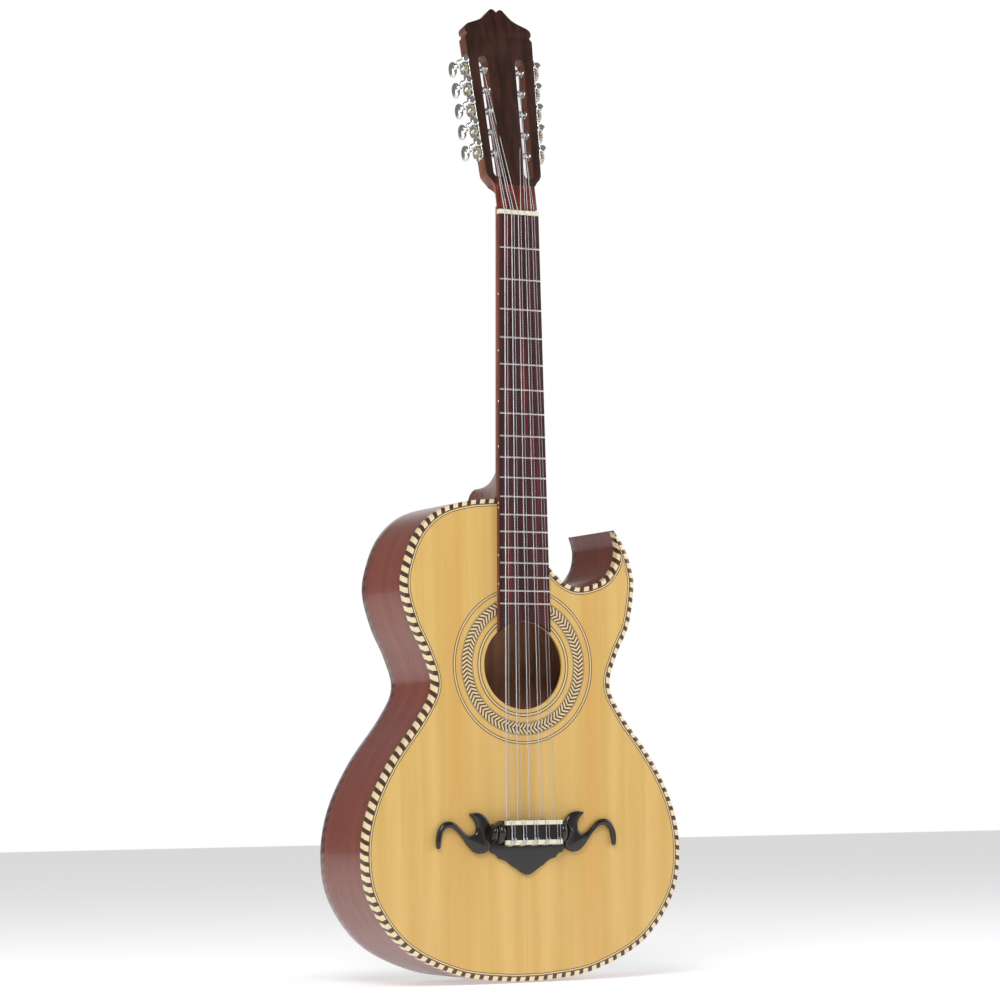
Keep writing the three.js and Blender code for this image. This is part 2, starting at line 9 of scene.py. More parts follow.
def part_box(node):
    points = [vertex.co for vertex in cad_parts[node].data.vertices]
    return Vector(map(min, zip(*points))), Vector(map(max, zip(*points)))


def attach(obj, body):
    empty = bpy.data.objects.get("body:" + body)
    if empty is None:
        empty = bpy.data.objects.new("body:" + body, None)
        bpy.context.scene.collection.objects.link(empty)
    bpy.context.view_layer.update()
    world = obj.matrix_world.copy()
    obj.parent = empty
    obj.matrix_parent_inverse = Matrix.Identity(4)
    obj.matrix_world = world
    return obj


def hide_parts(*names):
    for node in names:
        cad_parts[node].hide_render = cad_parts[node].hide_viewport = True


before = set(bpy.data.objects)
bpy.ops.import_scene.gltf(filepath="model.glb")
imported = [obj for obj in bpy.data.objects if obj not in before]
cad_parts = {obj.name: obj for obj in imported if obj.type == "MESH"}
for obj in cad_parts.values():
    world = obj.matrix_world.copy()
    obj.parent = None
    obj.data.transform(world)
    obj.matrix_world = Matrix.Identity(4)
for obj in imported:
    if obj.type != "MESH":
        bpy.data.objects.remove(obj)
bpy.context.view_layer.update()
MM = 0.001
TAU = 2 * pi


def mm(node):
    """Lowest and highest corner of a CAD node, in millimetres."""
    low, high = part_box(node)
    return low / MM, high / MM


# ---------- sizes, from the frame where it has them ----------
TOP_Y = mm("soundboard")[0].y
BODY_END = mm("back")[1].z
TAIL_DEPTH = 2 * -TOP_Y
DEPTH_LOSS = 0.10526 / 500
BACK_Y = TOP_Y + TAIL_DEPTH
PLATE = 3.0
BIND_WIDE = 5.0
BIND_DEEP = 11.0
PURFLING = 2.9
ROPE_PITCH = 11.0
ROSETTE_LOW, ROSETTE_HIGH = mm("rosette")
HOLE_Z = (ROSETTE_LOW.z + ROSETTE_HIGH.z) / 2
HOLE_R = 46.8
INNER_RING = (50.9, 54.9)
BAND = (60.3, 74.5)
OUTER_RING = (80.6, 84.0)
CHEVRONS = 96

NUT_LOW, NUT_HIGH = mm("nut")
NUT_Z = NUT_LOW.z
SCALE = NUT_Z - mm("saddle")[1].z
BOARD_FACE = TOP_Y - 6.5
FRETS = 18
HALF_AT_NUT = NUT_HIGH.x
HALF_SLOPE = 0.01538
HEEL_BACK = mm("heel_cap")[0].y
HEEL_CAP = mm("heel_cap")[1].y - HEEL_BACK

SHAFT_END = 829.0
HEEL_HALF, HEEL_TALL, CAP_TALL = 13, 70, 20
NECK_BLOCK_Z, NECK_BLOCK_HALF = 446, 28.4
NUT_COURSES, BRIDGE_COURSES = (8.3, 1.6), (13.7, 1.8)        # pitch of the courses, half the gap in a pair

HEAD_TILT = radians(11)
HEAD_FACE = Vector((0, -61, 825.5))
HEAD_THICK = 17.0
BLEND_FROM, BLEND_TO, BLEND_HALF = 18.0, 36.0, 24.2    # where the neck's round back opens into the slab
VENEER = 1.8
VENEER_START = 28.5
RAIL_HALF, RAIL_S, RAIL_SLOPE = 34.0, 55.0, 0.048
SLOT_R = 5.9
SLOT_LOW = (18.8, 41.9)
SLOT_HIGH = (22.5, 172.0)
TUNER_S = (65, 89.5, 114, 138.5, 163)
ROLLER_T = 7.0
ROLLER_CORE = 3.2
WORM_OUT = 4.6
WORM_UP = 9.1
TEETH = 14
GEAR_PITCH_R = 6.1
BUTTON_T = 32.0
SIDES = {"bass": -1, "treble": 1}

BONE_TOP = mm("saddle")[0].y
SADDLE_Z = mm("saddle")[1].z
BLOCK_HALF = mm("saddle")[1].x
BLOCK_LOW, BLOCK_HIGH = mm("tie_bone")[0].z, SADDLE_Z
FRONT_BONE_LOW = mm("saddle")[0].z
REAR_BONE_HIGH = mm("tie_bone")[1].z
BARREL_TOP = BONE_TOP + 0.4
BARREL_Y, BARREL_Z = -66.6, 156.4
STRING_HOLE_Y = -68.4
CAMERA_PLACE = Vector((-1601.6, TOP_Y - 3004.3, 197.0))
CAMERA_TURN = (-27.69, 5.27, 0.84)                          # yaw, pitch and roll in degrees
FILM, LENS = 36, 36 * 3.19
ROOM_LIGHT = 0.2
PAPER_DIRECTION = (0.465, 0.885, 0.0)
LIGHTS = {"key": ((-1500, -2200, 2300), 1.4, 60),
          "fill": ((2400, -1500, 1300), 1.6, 30),
          "rim": ((-2400, 300, 900), 1.0, 16)}
STRING_R = (0.62, 0.32, 0.58, 0.3, 0.5, 0.28, 0.42, 0.26, 0.3, 0.24)


def half_board(z):
    return HALF_AT_NUT + HALF_SLOPE * (NUT_Z - z)


def fret_z(n):
    return NUT_Z - SCALE * (1 - 2 ** (-n / 12))


# ---------- mesh helpers ----------
def linked(name, data):
    """A new object of the scene."""
    obj = bpy.data.objects.new(name, data)
    bpy.context.scene.collection.objects.link(obj)
    return obj


def baked(obj):
    """The object's mesh with its modifiers or bevels worked in."""
    graph = bpy.context.evaluated_depsgraph_get()
    return bpy.data.meshes.new_from_object(obj.evaluated_get(graph))


def mesh(name, verts, faces, uvs=None, smooth=35, merge=True):
    """A linked mesh object from points in millimetres."""
    data = bpy.data.meshes.new(name)
    data.from_pydata([Vector(v) * MM for v in verts], [], faces)
    if uvs:
        layer = data.uv_layers.new(name="UVMap")
        for loop in data.loops:
            layer.data[loop.index].uv = uvs[loop.vertex_index]
    return tidy(linked(name, data), smooth, merge)


def tidy(obj, smooth=35, merge=True):
    bm = bmesh.new()
    bm.from_mesh(obj.data)
    if merge:
        bmesh.ops.remove_doubles(bm, verts=bm.verts, dist=1e-6)
        bmesh.ops.dissolve_degenerate(bm, edges=bm.edges, dist=1e-7)
    bmesh.ops.recalc_face_normals(bm, faces=bm.faces)
    bm.to_mesh(obj.data)
    bm.free()
    obj.data.shade_smooth()
    obj.data.set_sharp_from_angle(angle=radians(smooth))
    return obj


def move(obj, rule):
    for v in obj.data.vertices:
        v.co = rule(v.co / MM) * MM
    obj.data.update()
    return obj


def tapered(obj):
    """The body gets thinner towards the neck, measured from the soundboard's face."""
    return move(obj, lambda p: Vector((p.x, TOP_Y + (p.y - TOP_Y) * (1 - DEPTH_LOSS * p.z), p.z)))


def join(name, objs):
    bm = bmesh.new()
    slots = list(dict.fromkeys(m for o in objs for m in o.data.materials))
    for o in objs:
        start = len(bm.faces)
        bm.from_mesh(o.data)
        bm.faces.ensure_lookup_table()
        for f in bm.faces[start:]:
            if o.data.materials:
                f.material_index = slots.index(o.data.materials[f.material_index])
    data = bpy.data.meshes.new(name)
    bm.to_mesh(data)
    bm.free()
    for m in slots:
        data.materials.append(m)
    for o in objs:
        bpy.data.objects.remove(o)
    return linked(name, data)


def flat(name, loops, y0, y1, bevel=0.0, smooth=35, rounds=2):
    """A flat piece cut to outlines in the x-z plane, between y0 and y1, with rounded edges."""
    curve = bpy.data.curves.new(name, "CURVE")
    curve.dimensions = "2D"
    curve.fill_mode = "BOTH"
    curve.extrude = ((y1 - y0) / 2 - bevel) * MM
    curve.bevel_depth = bevel * MM
    curve.bevel_resolution = rounds
    curve.offset = -bevel * MM
    for loop in loops:
        spline = curve.splines.new("POLY")
        spline.points.add(len(loop) - 1)
        for point, (x, z) in zip(spline.points, loop):
            point.co = (x * MM, z * MM, 0, 1)
        spline.use_cyclic_u = True
    made = linked(name, curve)
    data = baked(made)
    bpy.data.objects.remove(made)
    data.transform(Matrix.Translation((0, (y0 + y1) / 2 * MM, 0)) @ Matrix.Rotation(pi / 2, 4, "X"))
    return tidy(linked(name, data), smooth)


def box(name, x0, x1, y0, y1, z0, z1, bevel=0.4):
    loop = [(x0, z0), (x1, z0), (x1, z1), (x0, z1)]
    return flat(name, [loop], y0, y1, bevel)


def grid(rings, closed=True):
    """Points and faces of a skin through rings of points, with closed ends."""
    count = len(rings[0])
    verts = [p for ring in rings for p in ring]
    faces = []
    for i in range(len(rings) - 1):
        for j in range(count):
            k = (j + 1) % count
            faces.append((i * count + j, i * count + k, (i + 1) * count + k, (i + 1) * count + j))
    if closed:
        faces.append(tuple(reversed(range(count))))
        faces.append(tuple((len(rings) - 1) * count + j for j in range(count)))
    return verts, faces


def turned(name, profile, place, segments=32, radius=None):
    """A turned body. profile is (radius, distance along); place puts (a, b, along) in space."""
    rings = []
    for r, along in profile:
        ring = []
        for j in range(segments):
            angle = TAU * j / segments
            size = radius(r, along, angle) if radius else r
            ring.append(place(size * sin(angle), size * cos(angle), along))
        rings.append(ring)
    verts, faces = grid(rings)
    return mesh(name, verts, faces, smooth=40)


def wire(name, points, radius, sides=8, smooth=80):
    """A round wire through points, its section kept square to its run."""
    pts = [Vector(p) for p in points]
    rings = []
    side = None
    for i, p in enumerate(pts):
        run = (pts[min(i + 1, len(pts) - 1)] - pts[max(i - 1, 0)]).normalized()
        if side is None:
            side = run.orthogonal().normalized()
        side = (side - run * side.dot(run)).normalized()
        other = run.cross(side)
        ring = [p + (side * cos(TAU * j / sides) + other * sin(TAU * j / sides)) * radius
                for j in range(sides)]
        rings.append(ring)
    verts, faces = grid(rings)
    return mesh(name, verts, faces, smooth=smooth, merge=False)


# ---------- outlines ----------
def catmull(a, b, c, d, t):
    """Catmull-Rom blend between b and c, of numbers or of vectors."""
    square = (2 * a - 5 * b + 4 * c - d) * t * t
    cube = (3 * b - a - 3 * c + d) * t ** 3
    return 0.5 * (2 * b + (c - a) * t + square + cube)


def spline(points, step):
    """Catmull-Rom curve through the points, sampled evenly."""
    dense = []
    for i in range(len(points) - 1):
        p0 = points[max(i - 1, 0)]
        p1, p2 = points[i], points[i + 1]
        p3 = points[min(i + 2, len(points) - 1)]
        for k in range(24):
            t = k / 24
            dense.append(tuple(catmull(a, b, c, d, t) for a, b, c, d in zip(p0, p1, p2, p3)))
    dense.append(points[-1])
    lengths = [0.0]
    for a, b in zip(dense, dense[1:]):
        lengths.append(lengths[-1] + dist(a, b))
    count = max(2, round(lengths[-1] / step))
    result = []
    j = 0
    for i in range(count + 1):
        target = lengths[-1] * i / count
        while j < len(lengths) - 2 and lengths[j + 1] < target:
            j += 1
        share = (target - lengths[j]) / (lengths[j + 1] - lengths[j])
        result.append(tuple(a + (b - a) * share for a, b in zip(dense[j], dense[j + 1])))
    return result


LOWER = [(18, 0), (80, 8.5), (142, 37.7), (179.4, 85), (189.3, 133), (181.6, 182), (157.4, 231), (121, 280),
         (105.7, 312), (114.8, 345), (130.5, 377.6)]
TIP = (114, 481)
TREBLE = spline(LOWER + [(137.8, 420), (134.4, 443), (126, 464), TIP], 2.5)
BASS = [(-x, z) for x, z in reversed(spline(
    LOWER + [(140.5, 415), (135, 447), (121, 476), (97, 497.5), (64, 508), (28, BODY_END)], 2.5))]
CUTAWAY = spline([TIP, (118.5, 462), (114, 442), (98.5, 425.5), (71, 418), (50, 424.5), (30, 443)], 2.0)
LONG_EDGE = BASS + [(0, 0)] + TREBLE        # from the neck down the bass side, round the tail, up to the horn
MITRE = Vector((0.326, -0.945))             # line from the horn's tip that its two edges meet on


def normals(path):
    made = []
    for i in range(len(path)):
        a = Vector(path[max(i - 1, 0)])
        b = Vector(path[min(i + 1, len(path) - 1)])
        run = (b - a).normalized()
        made.append(Vector((-run.y, run.x)))
    return made


def across(point):
    """Which side of the horn's mitre line a point is on, and how far."""
    away = point - Vector(TIP)
    return MITRE.x * away.y - MITRE.y * away.x


def near_tip(point):
    return (point - Vector(TIP)).length < 45


def inset(path, distance, keep_cut=True):
    """The path moved inwards, stopped at the mitre line."""
    made = []
    sign = 1 if path is not CUTAWAY else -1
    for p, n in zip(path, normals(path)):
        base = Vector(p)
        moved = base + n * distance
        if near_tip(base) and across(moved) * sign < 0:
            if not keep_cut:
                continue
            start, end = across(base) * sign, across(moved) * sign
            moved = base + (moved - base) * (max(start, 0) / (max(start, 0) - end))
        made.append((moved.x, moved.y))
    return made


def band(name, path, section, taper=True, smooth=35):
    """A closed strip along a path. section is (inset, y) pairs; its UV is the run and the way round."""
    edges = [inset(path, d) for d, _ in section]
    run = [0.0]
    for a, b in zip(path, path[1:]):
        run.append(run[-1] + dist(a, b))
    around = [0.0]
    for (d0, y0), (d1, y1) in zip(section, section[1:]):
        around.append(around[-1] + hypot(d1 - d0, y1 - y0))
    rings, uvs = [], []
    for i in range(len(path)):
        rings.append([(edges[k][i][0], y, edges[k][i][1]) for k, (_, y) in enumerate(section)])
        uvs += [(run[i], v) for v in around]
    verts, faces = grid(rings)
    obj = mesh(name, verts, faces, uvs, smooth)
    return tapered(obj) if taper else obj


def arc(x, z, wide, tall, start, end, count):
    """Points on part of an ellipse about (x, z), both ends included."""
    angles = [start + (end - start) * i / count for i in range(count + 1)]
    return [(x + wide * cos(a), z + tall * sin(a)) for a in angles]


def circle(r, count=160):
    return arc(0, HOLE_Z, r, r, 0, TAU, count)[:-1]


# ---------- materials ----------
def linear(r, g, b):
    return tuple(((c / 255 + 0.055) / 1.055) ** 2.4 if c > 10 else c / 255 / 12.92 for c in (r, g, b)) + (1,)


class Paint:
    """A material's node tree with short ways to add nodes."""

    def __init__(self, name, roughness=0.4, metallic=0.0, coat=0.0, coat_roughness=0.05, gleam=0.5):
        self.material = bpy.data.materials.new(name)
        self.material.use_nodes = True
        self.tree = self.material.node_tree
        self.shader = self.tree.nodes["Principled BSDF"]
        values = {"Roughness": roughness, "Metallic": metallic, "Coat Weight": coat,
                  "Coat Roughness": coat_roughness, "Specular IOR Level": gleam}
        for socket, value in values.items():
            self.shader.inputs[socket].default_value = value

    def node(self, kind, inputs=(), **settings):
        made = self.tree.nodes.new(kind)
        for key, value in settings.items():
            setattr(made, key, value)
        for key, value in dict(inputs).items():
            self.put(made.inputs[key], value)
        return made

    def put(self, socket, value):
        if isinstance(value, bpy.types.NodeSocket):
            self.tree.links.new(value, socket)
        else:
            socket.default_value = value

    def math(self, operation, a, b=0.0, c=0.0):
        return self.node("ShaderNodeMath", {0: a, 1: b, 2: c}, operation=operation).outputs[0]

    def times(self, a, b):
        return self.math("MULTIPLY", a, b)

    def plus(self, a, b):
        return self.math("ADD", a, b)

    def minus(self, a, b):
        return self.math("SUBTRACT", a, b)

    def below(self, a, b):
        return self.math("LESS_THAN", a, b)

    def where(self, value, low, high):
        """1 where low < value < high, else 0."""
        return self.times(self.math("GREATER_THAN", value, low), self.below(value, high))

    def smooth(self, value, low, high):
        made = self.node("ShaderNodeMapRange", {"Value": value, "From Min": low, "From Max": high},
                         interpolation_type="SMOOTHSTEP")
        return made.outputs[0]

    def mix(self, share, a, b, blend="MIX"):
        made = self.node("ShaderNodeMix", data_type="RGBA", blend_type=blend)
        self.put(made.inputs["Factor"], share)
        self.put(made.inputs[6], a)
        self.put(made.inputs[7], b)
        return made.outputs[2]

    def tones(self, share, first, second):
        """A mix of two colours given in steps of 0 to 255."""
        return self.mix(share, linear(*first), linear(*second))

    def tint(self, color, share, weight, tone):
        """The colour, drawn towards a tone by a share of at most the weight."""
        return self.mix(self.times(share, weight), color, linear(*tone))

    def place(self, uv=False):
        """x, y, z in millimetres of the object's own space, or of its UV."""
        made = self.node("ShaderNodeTexCoord")
        split = self.node("ShaderNodeSeparateXYZ", {0: made.outputs["UV" if uv else "Object"]})
        if uv:
            return split.outputs[0], split.outputs[1], 0.0
        return tuple(self.times(split.outputs[i], 1 / MM) for i in range(3))

    def noise(self, x, y, z, scale=1.0, detail=4.0, rough=0.5):
        vector = self.node("ShaderNodeCombineXYZ", {0: x, 1: y, 2: z}).outputs[0]
        inputs = {"Vector": vector, "Scale": scale, "Detail": detail, "Roughness": rough}
        return self.node("ShaderNodeTexNoise", inputs).outputs[0]

    def bump(self, height, strength, distance=0.0002):
        made = self.node("ShaderNodeBump", {"Height": height, "Strength": strength, "Distance": distance})
        self.put(self.shader.inputs["Normal"], made.outputs[0])

    def color(self, value):
        self.put(self.shader.inputs["Base Color"], value)

    def rough(self, value):
        self.put(self.shader.inputs["Roughness"], value)


def stretched_grain(paint, place, grain, fine, coarse, along):
    """Two noises drawn out along one axis (0, 1 or 2): broad colour bands and fine fibres."""
    def scaled(size):
        return [0.0 if c == 0.0 else paint.times(c, size * along if i == grain else size)
                for i, c in enumerate(place)]
    return paint.noise(*scaled(coarse), detail=3), paint.noise(*scaled(fine), detail=5, rough=0.65)


def wood(name, light, dark, grain=2, uv=False, fine=1.6, coarse=0.12, along=0.02, contrast=0.6,
         roughness=0.4, coat=0.0, pores=0.25, streak=None, gleam=0.5):
    """Wood with bands, fibres and pores drawn out along its grain."""
    paint = Paint(name, roughness, coat=coat, gleam=gleam)
    place = paint.place(uv)
    broad, fibre = stretched_grain(paint, place, grain, fine, coarse, along)
    share = paint.plus(paint.smooth(broad, 0.5 - contrast / 2, 0.5 + contrast / 2),
                       paint.times(paint.minus(fibre, 0.5), 0.9))
    share = paint.math("MINIMUM", paint.math("MAXIMUM", share, 0.0), 1.0)
    color = paint.tones(share, dark, light)
    if streak:
        third, _ = stretched_grain(paint, [paint.plus(c, 37.0) for c in place], grain, fine, coarse * 2.5,
                                   along * 0.5)
        color = paint.tint(color, paint.smooth(third, 0.58, 0.7), 0.75, streak)
    pore = paint.smooth(fibre, 0.36, 0.46)
    color = paint.mix(pore, paint.mix(pores, color, (0.01, 0.005, 0.004, 1)), color)
    paint.color(color)
    paint.rough(paint.plus(paint.times(paint.minus(1.0, pore), 0.15), roughness))
    paint.bump(fibre, 0.12 if coat else 0.3)
    return paint.material


def spruce():
    """Bookmatched spruce: fine lines mirrored about the centre seam, broad warm bands, a clear coat."""
    paint = Paint("spruce_top", 0.38, coat=0.35, coat_roughness=0.08)
    x, y, z = paint.place()
    half = paint.math("ABSOLUTE", x)

    def stripes(across_grain, size, along, layer, detail=2):
        return paint.noise(paint.times(across_grain, size), layer, paint.times(z, along), detail=detail)

    wander = stripes(half, 0.02, 0.0035, 0.0)
    shifted = paint.plus(half, paint.times(wander, 9.0))
    lines = stripes(shifted, 0.95, 0.0035, 0.0)
    broad = stripes(shifted, 0.055, 0.0022, 3.0)
    silk = stripes(half, 0.35, 0.09, 7.0, detail=4)
    base = paint.tones(paint.smooth(broad, 0.3, 0.75), (204, 165, 89), (216, 179, 106))
    base = paint.tint(base, paint.smooth(lines, 0.5, 0.72), 0.3, (200, 152, 80))
    warm = paint.minus(1.0, paint.smooth(paint.math("ABSOLUTE", paint.minus(half, 80.0)), 3.0, 16.0))
    base = paint.tint(base, warm, 0.3, (208, 152, 78))
    base = paint.tint(base, paint.smooth(silk, 0.55, 0.75), 0.12, (238, 208, 146))
    seam = paint.below(half, 0.16)
    paint.color(paint.tint(base, seam, 0.5, (150, 100, 50)))
    paint.bump(lines, 0.06)
    return paint.material


def rope(name, creams, browns):
    """Rope border: light and dark blocks that run over the edge and lean a little along the skirt."""
    paint = Paint(name, 0.3, coat=0.5)
    u, v, _ = paint.place(uv=True)
    lean = paint.times(v, 0.28)
    phase = paint.math("FRACT", paint.math("DIVIDE", paint.plus(u, lean), ROPE_PITCH))
    dark = paint.below(phase, 0.45)
    grain = paint.noise(paint.times(u, 0.9), paint.times(v, 0.25), 0.0, detail=4)
    cream = paint.tones(grain, *creams)
    brown = paint.tones(grain, *browns)
    edge = paint.below(v, 0.45)
    color = paint.mix(dark, cream, brown)
    paint.color(paint.mix(edge, color, linear(84, 56, 40)))
    paint.bump(grain, 0.1)
    return paint.material


def fine_lines(name, value_of, width, dark_at):
    """Thin dark lines in cream wood, at shares of a strip's width."""
    paint = Paint(name, 0.32, coat=0.5)
    value = value_of(paint)
    dark = 0.0
    for centre in dark_at:
        near = paint.math("ABSOLUTE", paint.minus(value, centre * width))
        dark = paint.math("MAXIMUM", dark, paint.below(near, 0.13 * width))
    u, v, _ = paint.place(uv=True)
    grain = paint.noise(paint.times(u, 0.3), paint.times(v, 3.0), 0.0)
    cream = paint.tones(grain, (205, 178, 130), (228, 206, 160))
    paint.color(paint.mix(dark, cream, linear(70, 46, 38)))
    paint.bump(grain, 0.05)
    return paint.material


def polar(paint):
    """Radius from the sound hole's centre, and the angle round it as a share of a turn."""
    x, _, z = paint.place()
    up = paint.minus(z, HOLE_Z)
    radius = paint.math("SQRT", paint.plus(paint.math("POWER", x, 2.0), paint.math("POWER", up, 2.0)))
    turn = paint.math("DIVIDE", paint.math("ARCTAN2", up, x), TAU)
    return radius, turn


def ring_lines(name, low, high):
    def value(paint):
        return paint.minus(polar(paint)[0], low)
    return fine_lines(name, value, high - low, (0.13, 0.87))


def herringbone():
    """Leaf-like chevrons between two fine borders."""
    paint = Paint("herringbone", 0.32, coat=0.5)
    radius, turn = polar(paint)
    low, high = BAND
    middle = (low + high) / 2
    away = paint.math("ABSOLUTE", paint.minus(radius, middle))
    lean = paint.times(away, -0.17)
    phase = paint.math("FRACT", paint.plus(paint.times(turn, CHEVRONS), lean))
    dark = paint.below(phase, 0.5)
    spine = paint.below(away, 0.25)
    dark = paint.math("MAXIMUM", dark, paint.times(spine, 0.7))
    grain = paint.noise(paint.times(turn, 900.0), paint.times(radius, 0.7), 0.0)
    cream = paint.tones(grain, (210, 184, 132), (238, 220, 176))
    brown = paint.tones(grain, (60, 36, 30), (104, 70, 56))
    color = paint.mix(dark, cream, brown)
    for start, end, tone in ((0, 0.5, (70, 46, 38)), (0.5, 1.0, (214, 190, 142)), (1.0, 1.5, (70, 46, 38))):
        inner = paint.where(radius, low + start, low + end)
        outer = paint.where(radius, high - end, high - start)
        color = paint.mix(paint.math("MAXIMUM", inner, outer), color, linear(*tone))
    paint.color(color)
    paint.bump(grain, 0.08)
    return paint.material


def bone():
    paint = Paint("bone", 0.35, coat=0.2)
    x, y, z = paint.place()
    cloud = paint.noise(paint.times(x, 0.2), paint.times(y, 0.6), paint.times(z, 0.6))
    paint.color(paint.tones(cloud, (214, 206, 176), (238, 233, 212)))
    paint.shader.inputs["Subsurface Weight"].default_value = 0.05
    paint.rough(paint.plus(paint.times(cloud, 0.2), 0.25))
    return paint.material


def ebony():
    """Black-stained wood under gloss, with grain that only just shows."""
    paint = Paint("ebonised_wood", 0.3, coat=0.7, coat_roughness=0.04, gleam=0.25)
    place = paint.place()
    broad, fibre = stretched_grain(paint, place, 0, 1.2, 0.15, 0.04)
    color = paint.tones(broad, (10, 8, 8), (34, 28, 27))
    paint.color(paint.tint(color, paint.smooth(fibre, 0.5, 0.7), 0.3, (52, 44, 41)))
    paint.bump(fibre, 0.05)
    return paint.material


def metal(name, tone, roughness, scale=0.8, worn=0.12):
    """Plated metal with faint blotches and fine scratches."""
    paint = Paint(name, roughness, metallic=1.0)
    x, y, z = paint.place()
    cloud = paint.noise(*[paint.times(c, scale) for c in (x, y, z)], detail=5)
    scratch = paint.noise(paint.times(x, 4.0), paint.times(y, 0.4), paint.times(z, 4.0))
    low = tuple(c * 0.82 for c in tone[:3]) + (1,)
    paint.color(paint.mix(cloud, low, tone))
    paint.rough(paint.plus(paint.times(cloud, worn), roughness))
    paint.bump(scratch, 0.03)
    return paint.material


def wound(name, tone, pitch):
    """String wire: fine turns of winding along its run, with painted shade darkening the grooves between the
    turns.
    """
    paint = Paint(name, 0.3, metallic=1.0)
    x, y, z = paint.place()
    run = paint.plus(z, paint.times(x, 0.4))
    wave = paint.math("SINE", paint.times(run, TAU / pitch))
    # painted shade: the colour falls to 0.6 of the tone in the hollows of the winding bump, between the turns
    share = paint.smooth(wave, -0.8, 0.6)
    paint.color(paint.mix(share, tuple(c * 0.6 for c in tone[:3]) + (1,), tone))
    paint.bump(wave, 0.2)
    return paint.material


def ground():
    paint = Paint("pale_floor", 0.75)
    x, y, z = paint.place()
    cloud = paint.noise(x, y, z, scale=0.004)
    paint.color(paint.mix(cloud, (0.88, 0.88, 0.88, 1), (0.92, 0.92, 0.92, 1)))
    paint.shader.inputs["Emission Color"].default_value = (1, 1, 1, 1)
    paint.shader.inputs["Emission Strength"].default_value = 0.45
    return paint.material


SPRUCE = spruce()
ROPE = rope("rope_border", ((214, 190, 138), (240, 226, 188)), ((48, 26, 20), (92, 54, 40)))
BACK_ROPE = rope("dark_rope_border", ((112, 66, 50), (92, 50, 38)), ((48, 24, 18), (74, 36, 28)))
MAHOGANY_SIDE = wood("mahogany_side", (140, 76, 62), (104, 50, 40), grain=0, uv=True, fine=1.3,
                     coarse=0.05, along=0.03, contrast=0.9, roughness=0.3, coat=0.3, pores=0.25,
                     gleam=0.3)
MAHOGANY_BACK = wood("mahogany_back", (140, 76, 60), (92, 42, 34), fine=1.3, coarse=0.045, contrast=0.7,
                     roughness=0.3, coat=0.5, pores=0.3)
NECK_WOOD = wood("mahogany_neck", (140, 84, 62), (92, 46, 32), fine=1.3, coarse=0.09, roughness=0.36,
                 coat=0.2, pores=0.3)
RED_WOOD = wood("red_neck_face", (112, 34, 16), (58, 14, 8), fine=1.3, coarse=0.16, roughness=0.34,
                coat=0.25, streak=(190, 66, 18))
VENEER_WOOD = wood("rosewood_veneer", (64, 36, 26), (34, 16, 11), fine=1.8, coarse=0.14, roughness=0.42,
                   coat=0.05, pores=0.5, gleam=0.2)
BOARD_WOOD = wood("rosewood_board", (78, 40, 44), (38, 18, 24), fine=1.7, coarse=0.2, roughness=0.46,
                  coat=0.03, pores=0.5, streak=(140, 34, 36), gleam=0.2)
BOARD_EDGE = wood("board_edge", (132, 72, 52), (74, 36, 28), fine=1.7, coarse=0.2, roughness=0.42,
                  pores=0.4)
CEDAR = wood("bare_cedar", (176, 128, 88), (126, 84, 54), fine=1.2, coarse=0.12, roughness=0.7,
             pores=0.2)
INSIDE = wood("inside_wood", (232, 176, 138), (190, 134, 100), fine=1.2, coarse=0.06, roughness=0.75,
              pores=0.25)
BONE = bone()
EBONY = ebony()
CHROME = metal("nickel_plate", (0.86, 0.86, 0.85, 1), 0.12)
BRIGHT = metal("bright_nickel", (0.9, 0.9, 0.9, 1), 0.07)
BRASS = metal("warm_nickel_gear", (0.74, 0.68, 0.55, 1), 0.2)
FRET_METAL = metal("fret_wire", (0.84, 0.82, 0.74, 1), 0.22)
WOUND = wound("wound_string", (0.7, 0.7, 0.72, 1), 0.55)
PLAIN = wound("plain_string", (0.78, 0.78, 0.8, 1), 3.1)


def dress(obj, material, slot, *nodes, body="root"):
    """Material, slot (not used), CAD nodes that it stands for, and the body that it rides on."""
    obj.data.materials.clear()
    obj.data.materials.append(material)
    return settle(obj, slot, *nodes, body=body)


def settle(obj, slot, *nodes, body="root"):
    """Slot (not used), CAD nodes and body of a piece that already has its materials."""
    if nodes:
        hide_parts(*nodes)
    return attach(obj, body)


# ---------- body ----------
def plate_loop(distance):
    edge = inset(LONG_EDGE, distance, keep_cut=False)
    horn = inset(CUTAWAY, distance, keep_cut=False)
    neck = [(NECK_BLOCK_HALF, NECK_BLOCK_Z), (NECK_BLOCK_HALF, BODY_END), (-NECK_BLOCK_HALF, BODY_END)]
    return edge + horn + neck


def edge_section(face, deep, soft=0.6):
    """A binding's rectangle from the outline inwards, with its outer edge rounded at the face."""
    turn = copysign(soft, deep - face)
    return [(BIND_WIDE, face), (soft, face), (soft * 0.3, face + turn * 0.3), (0, face + turn),
            (0, deep), (BIND_WIDE, deep)]


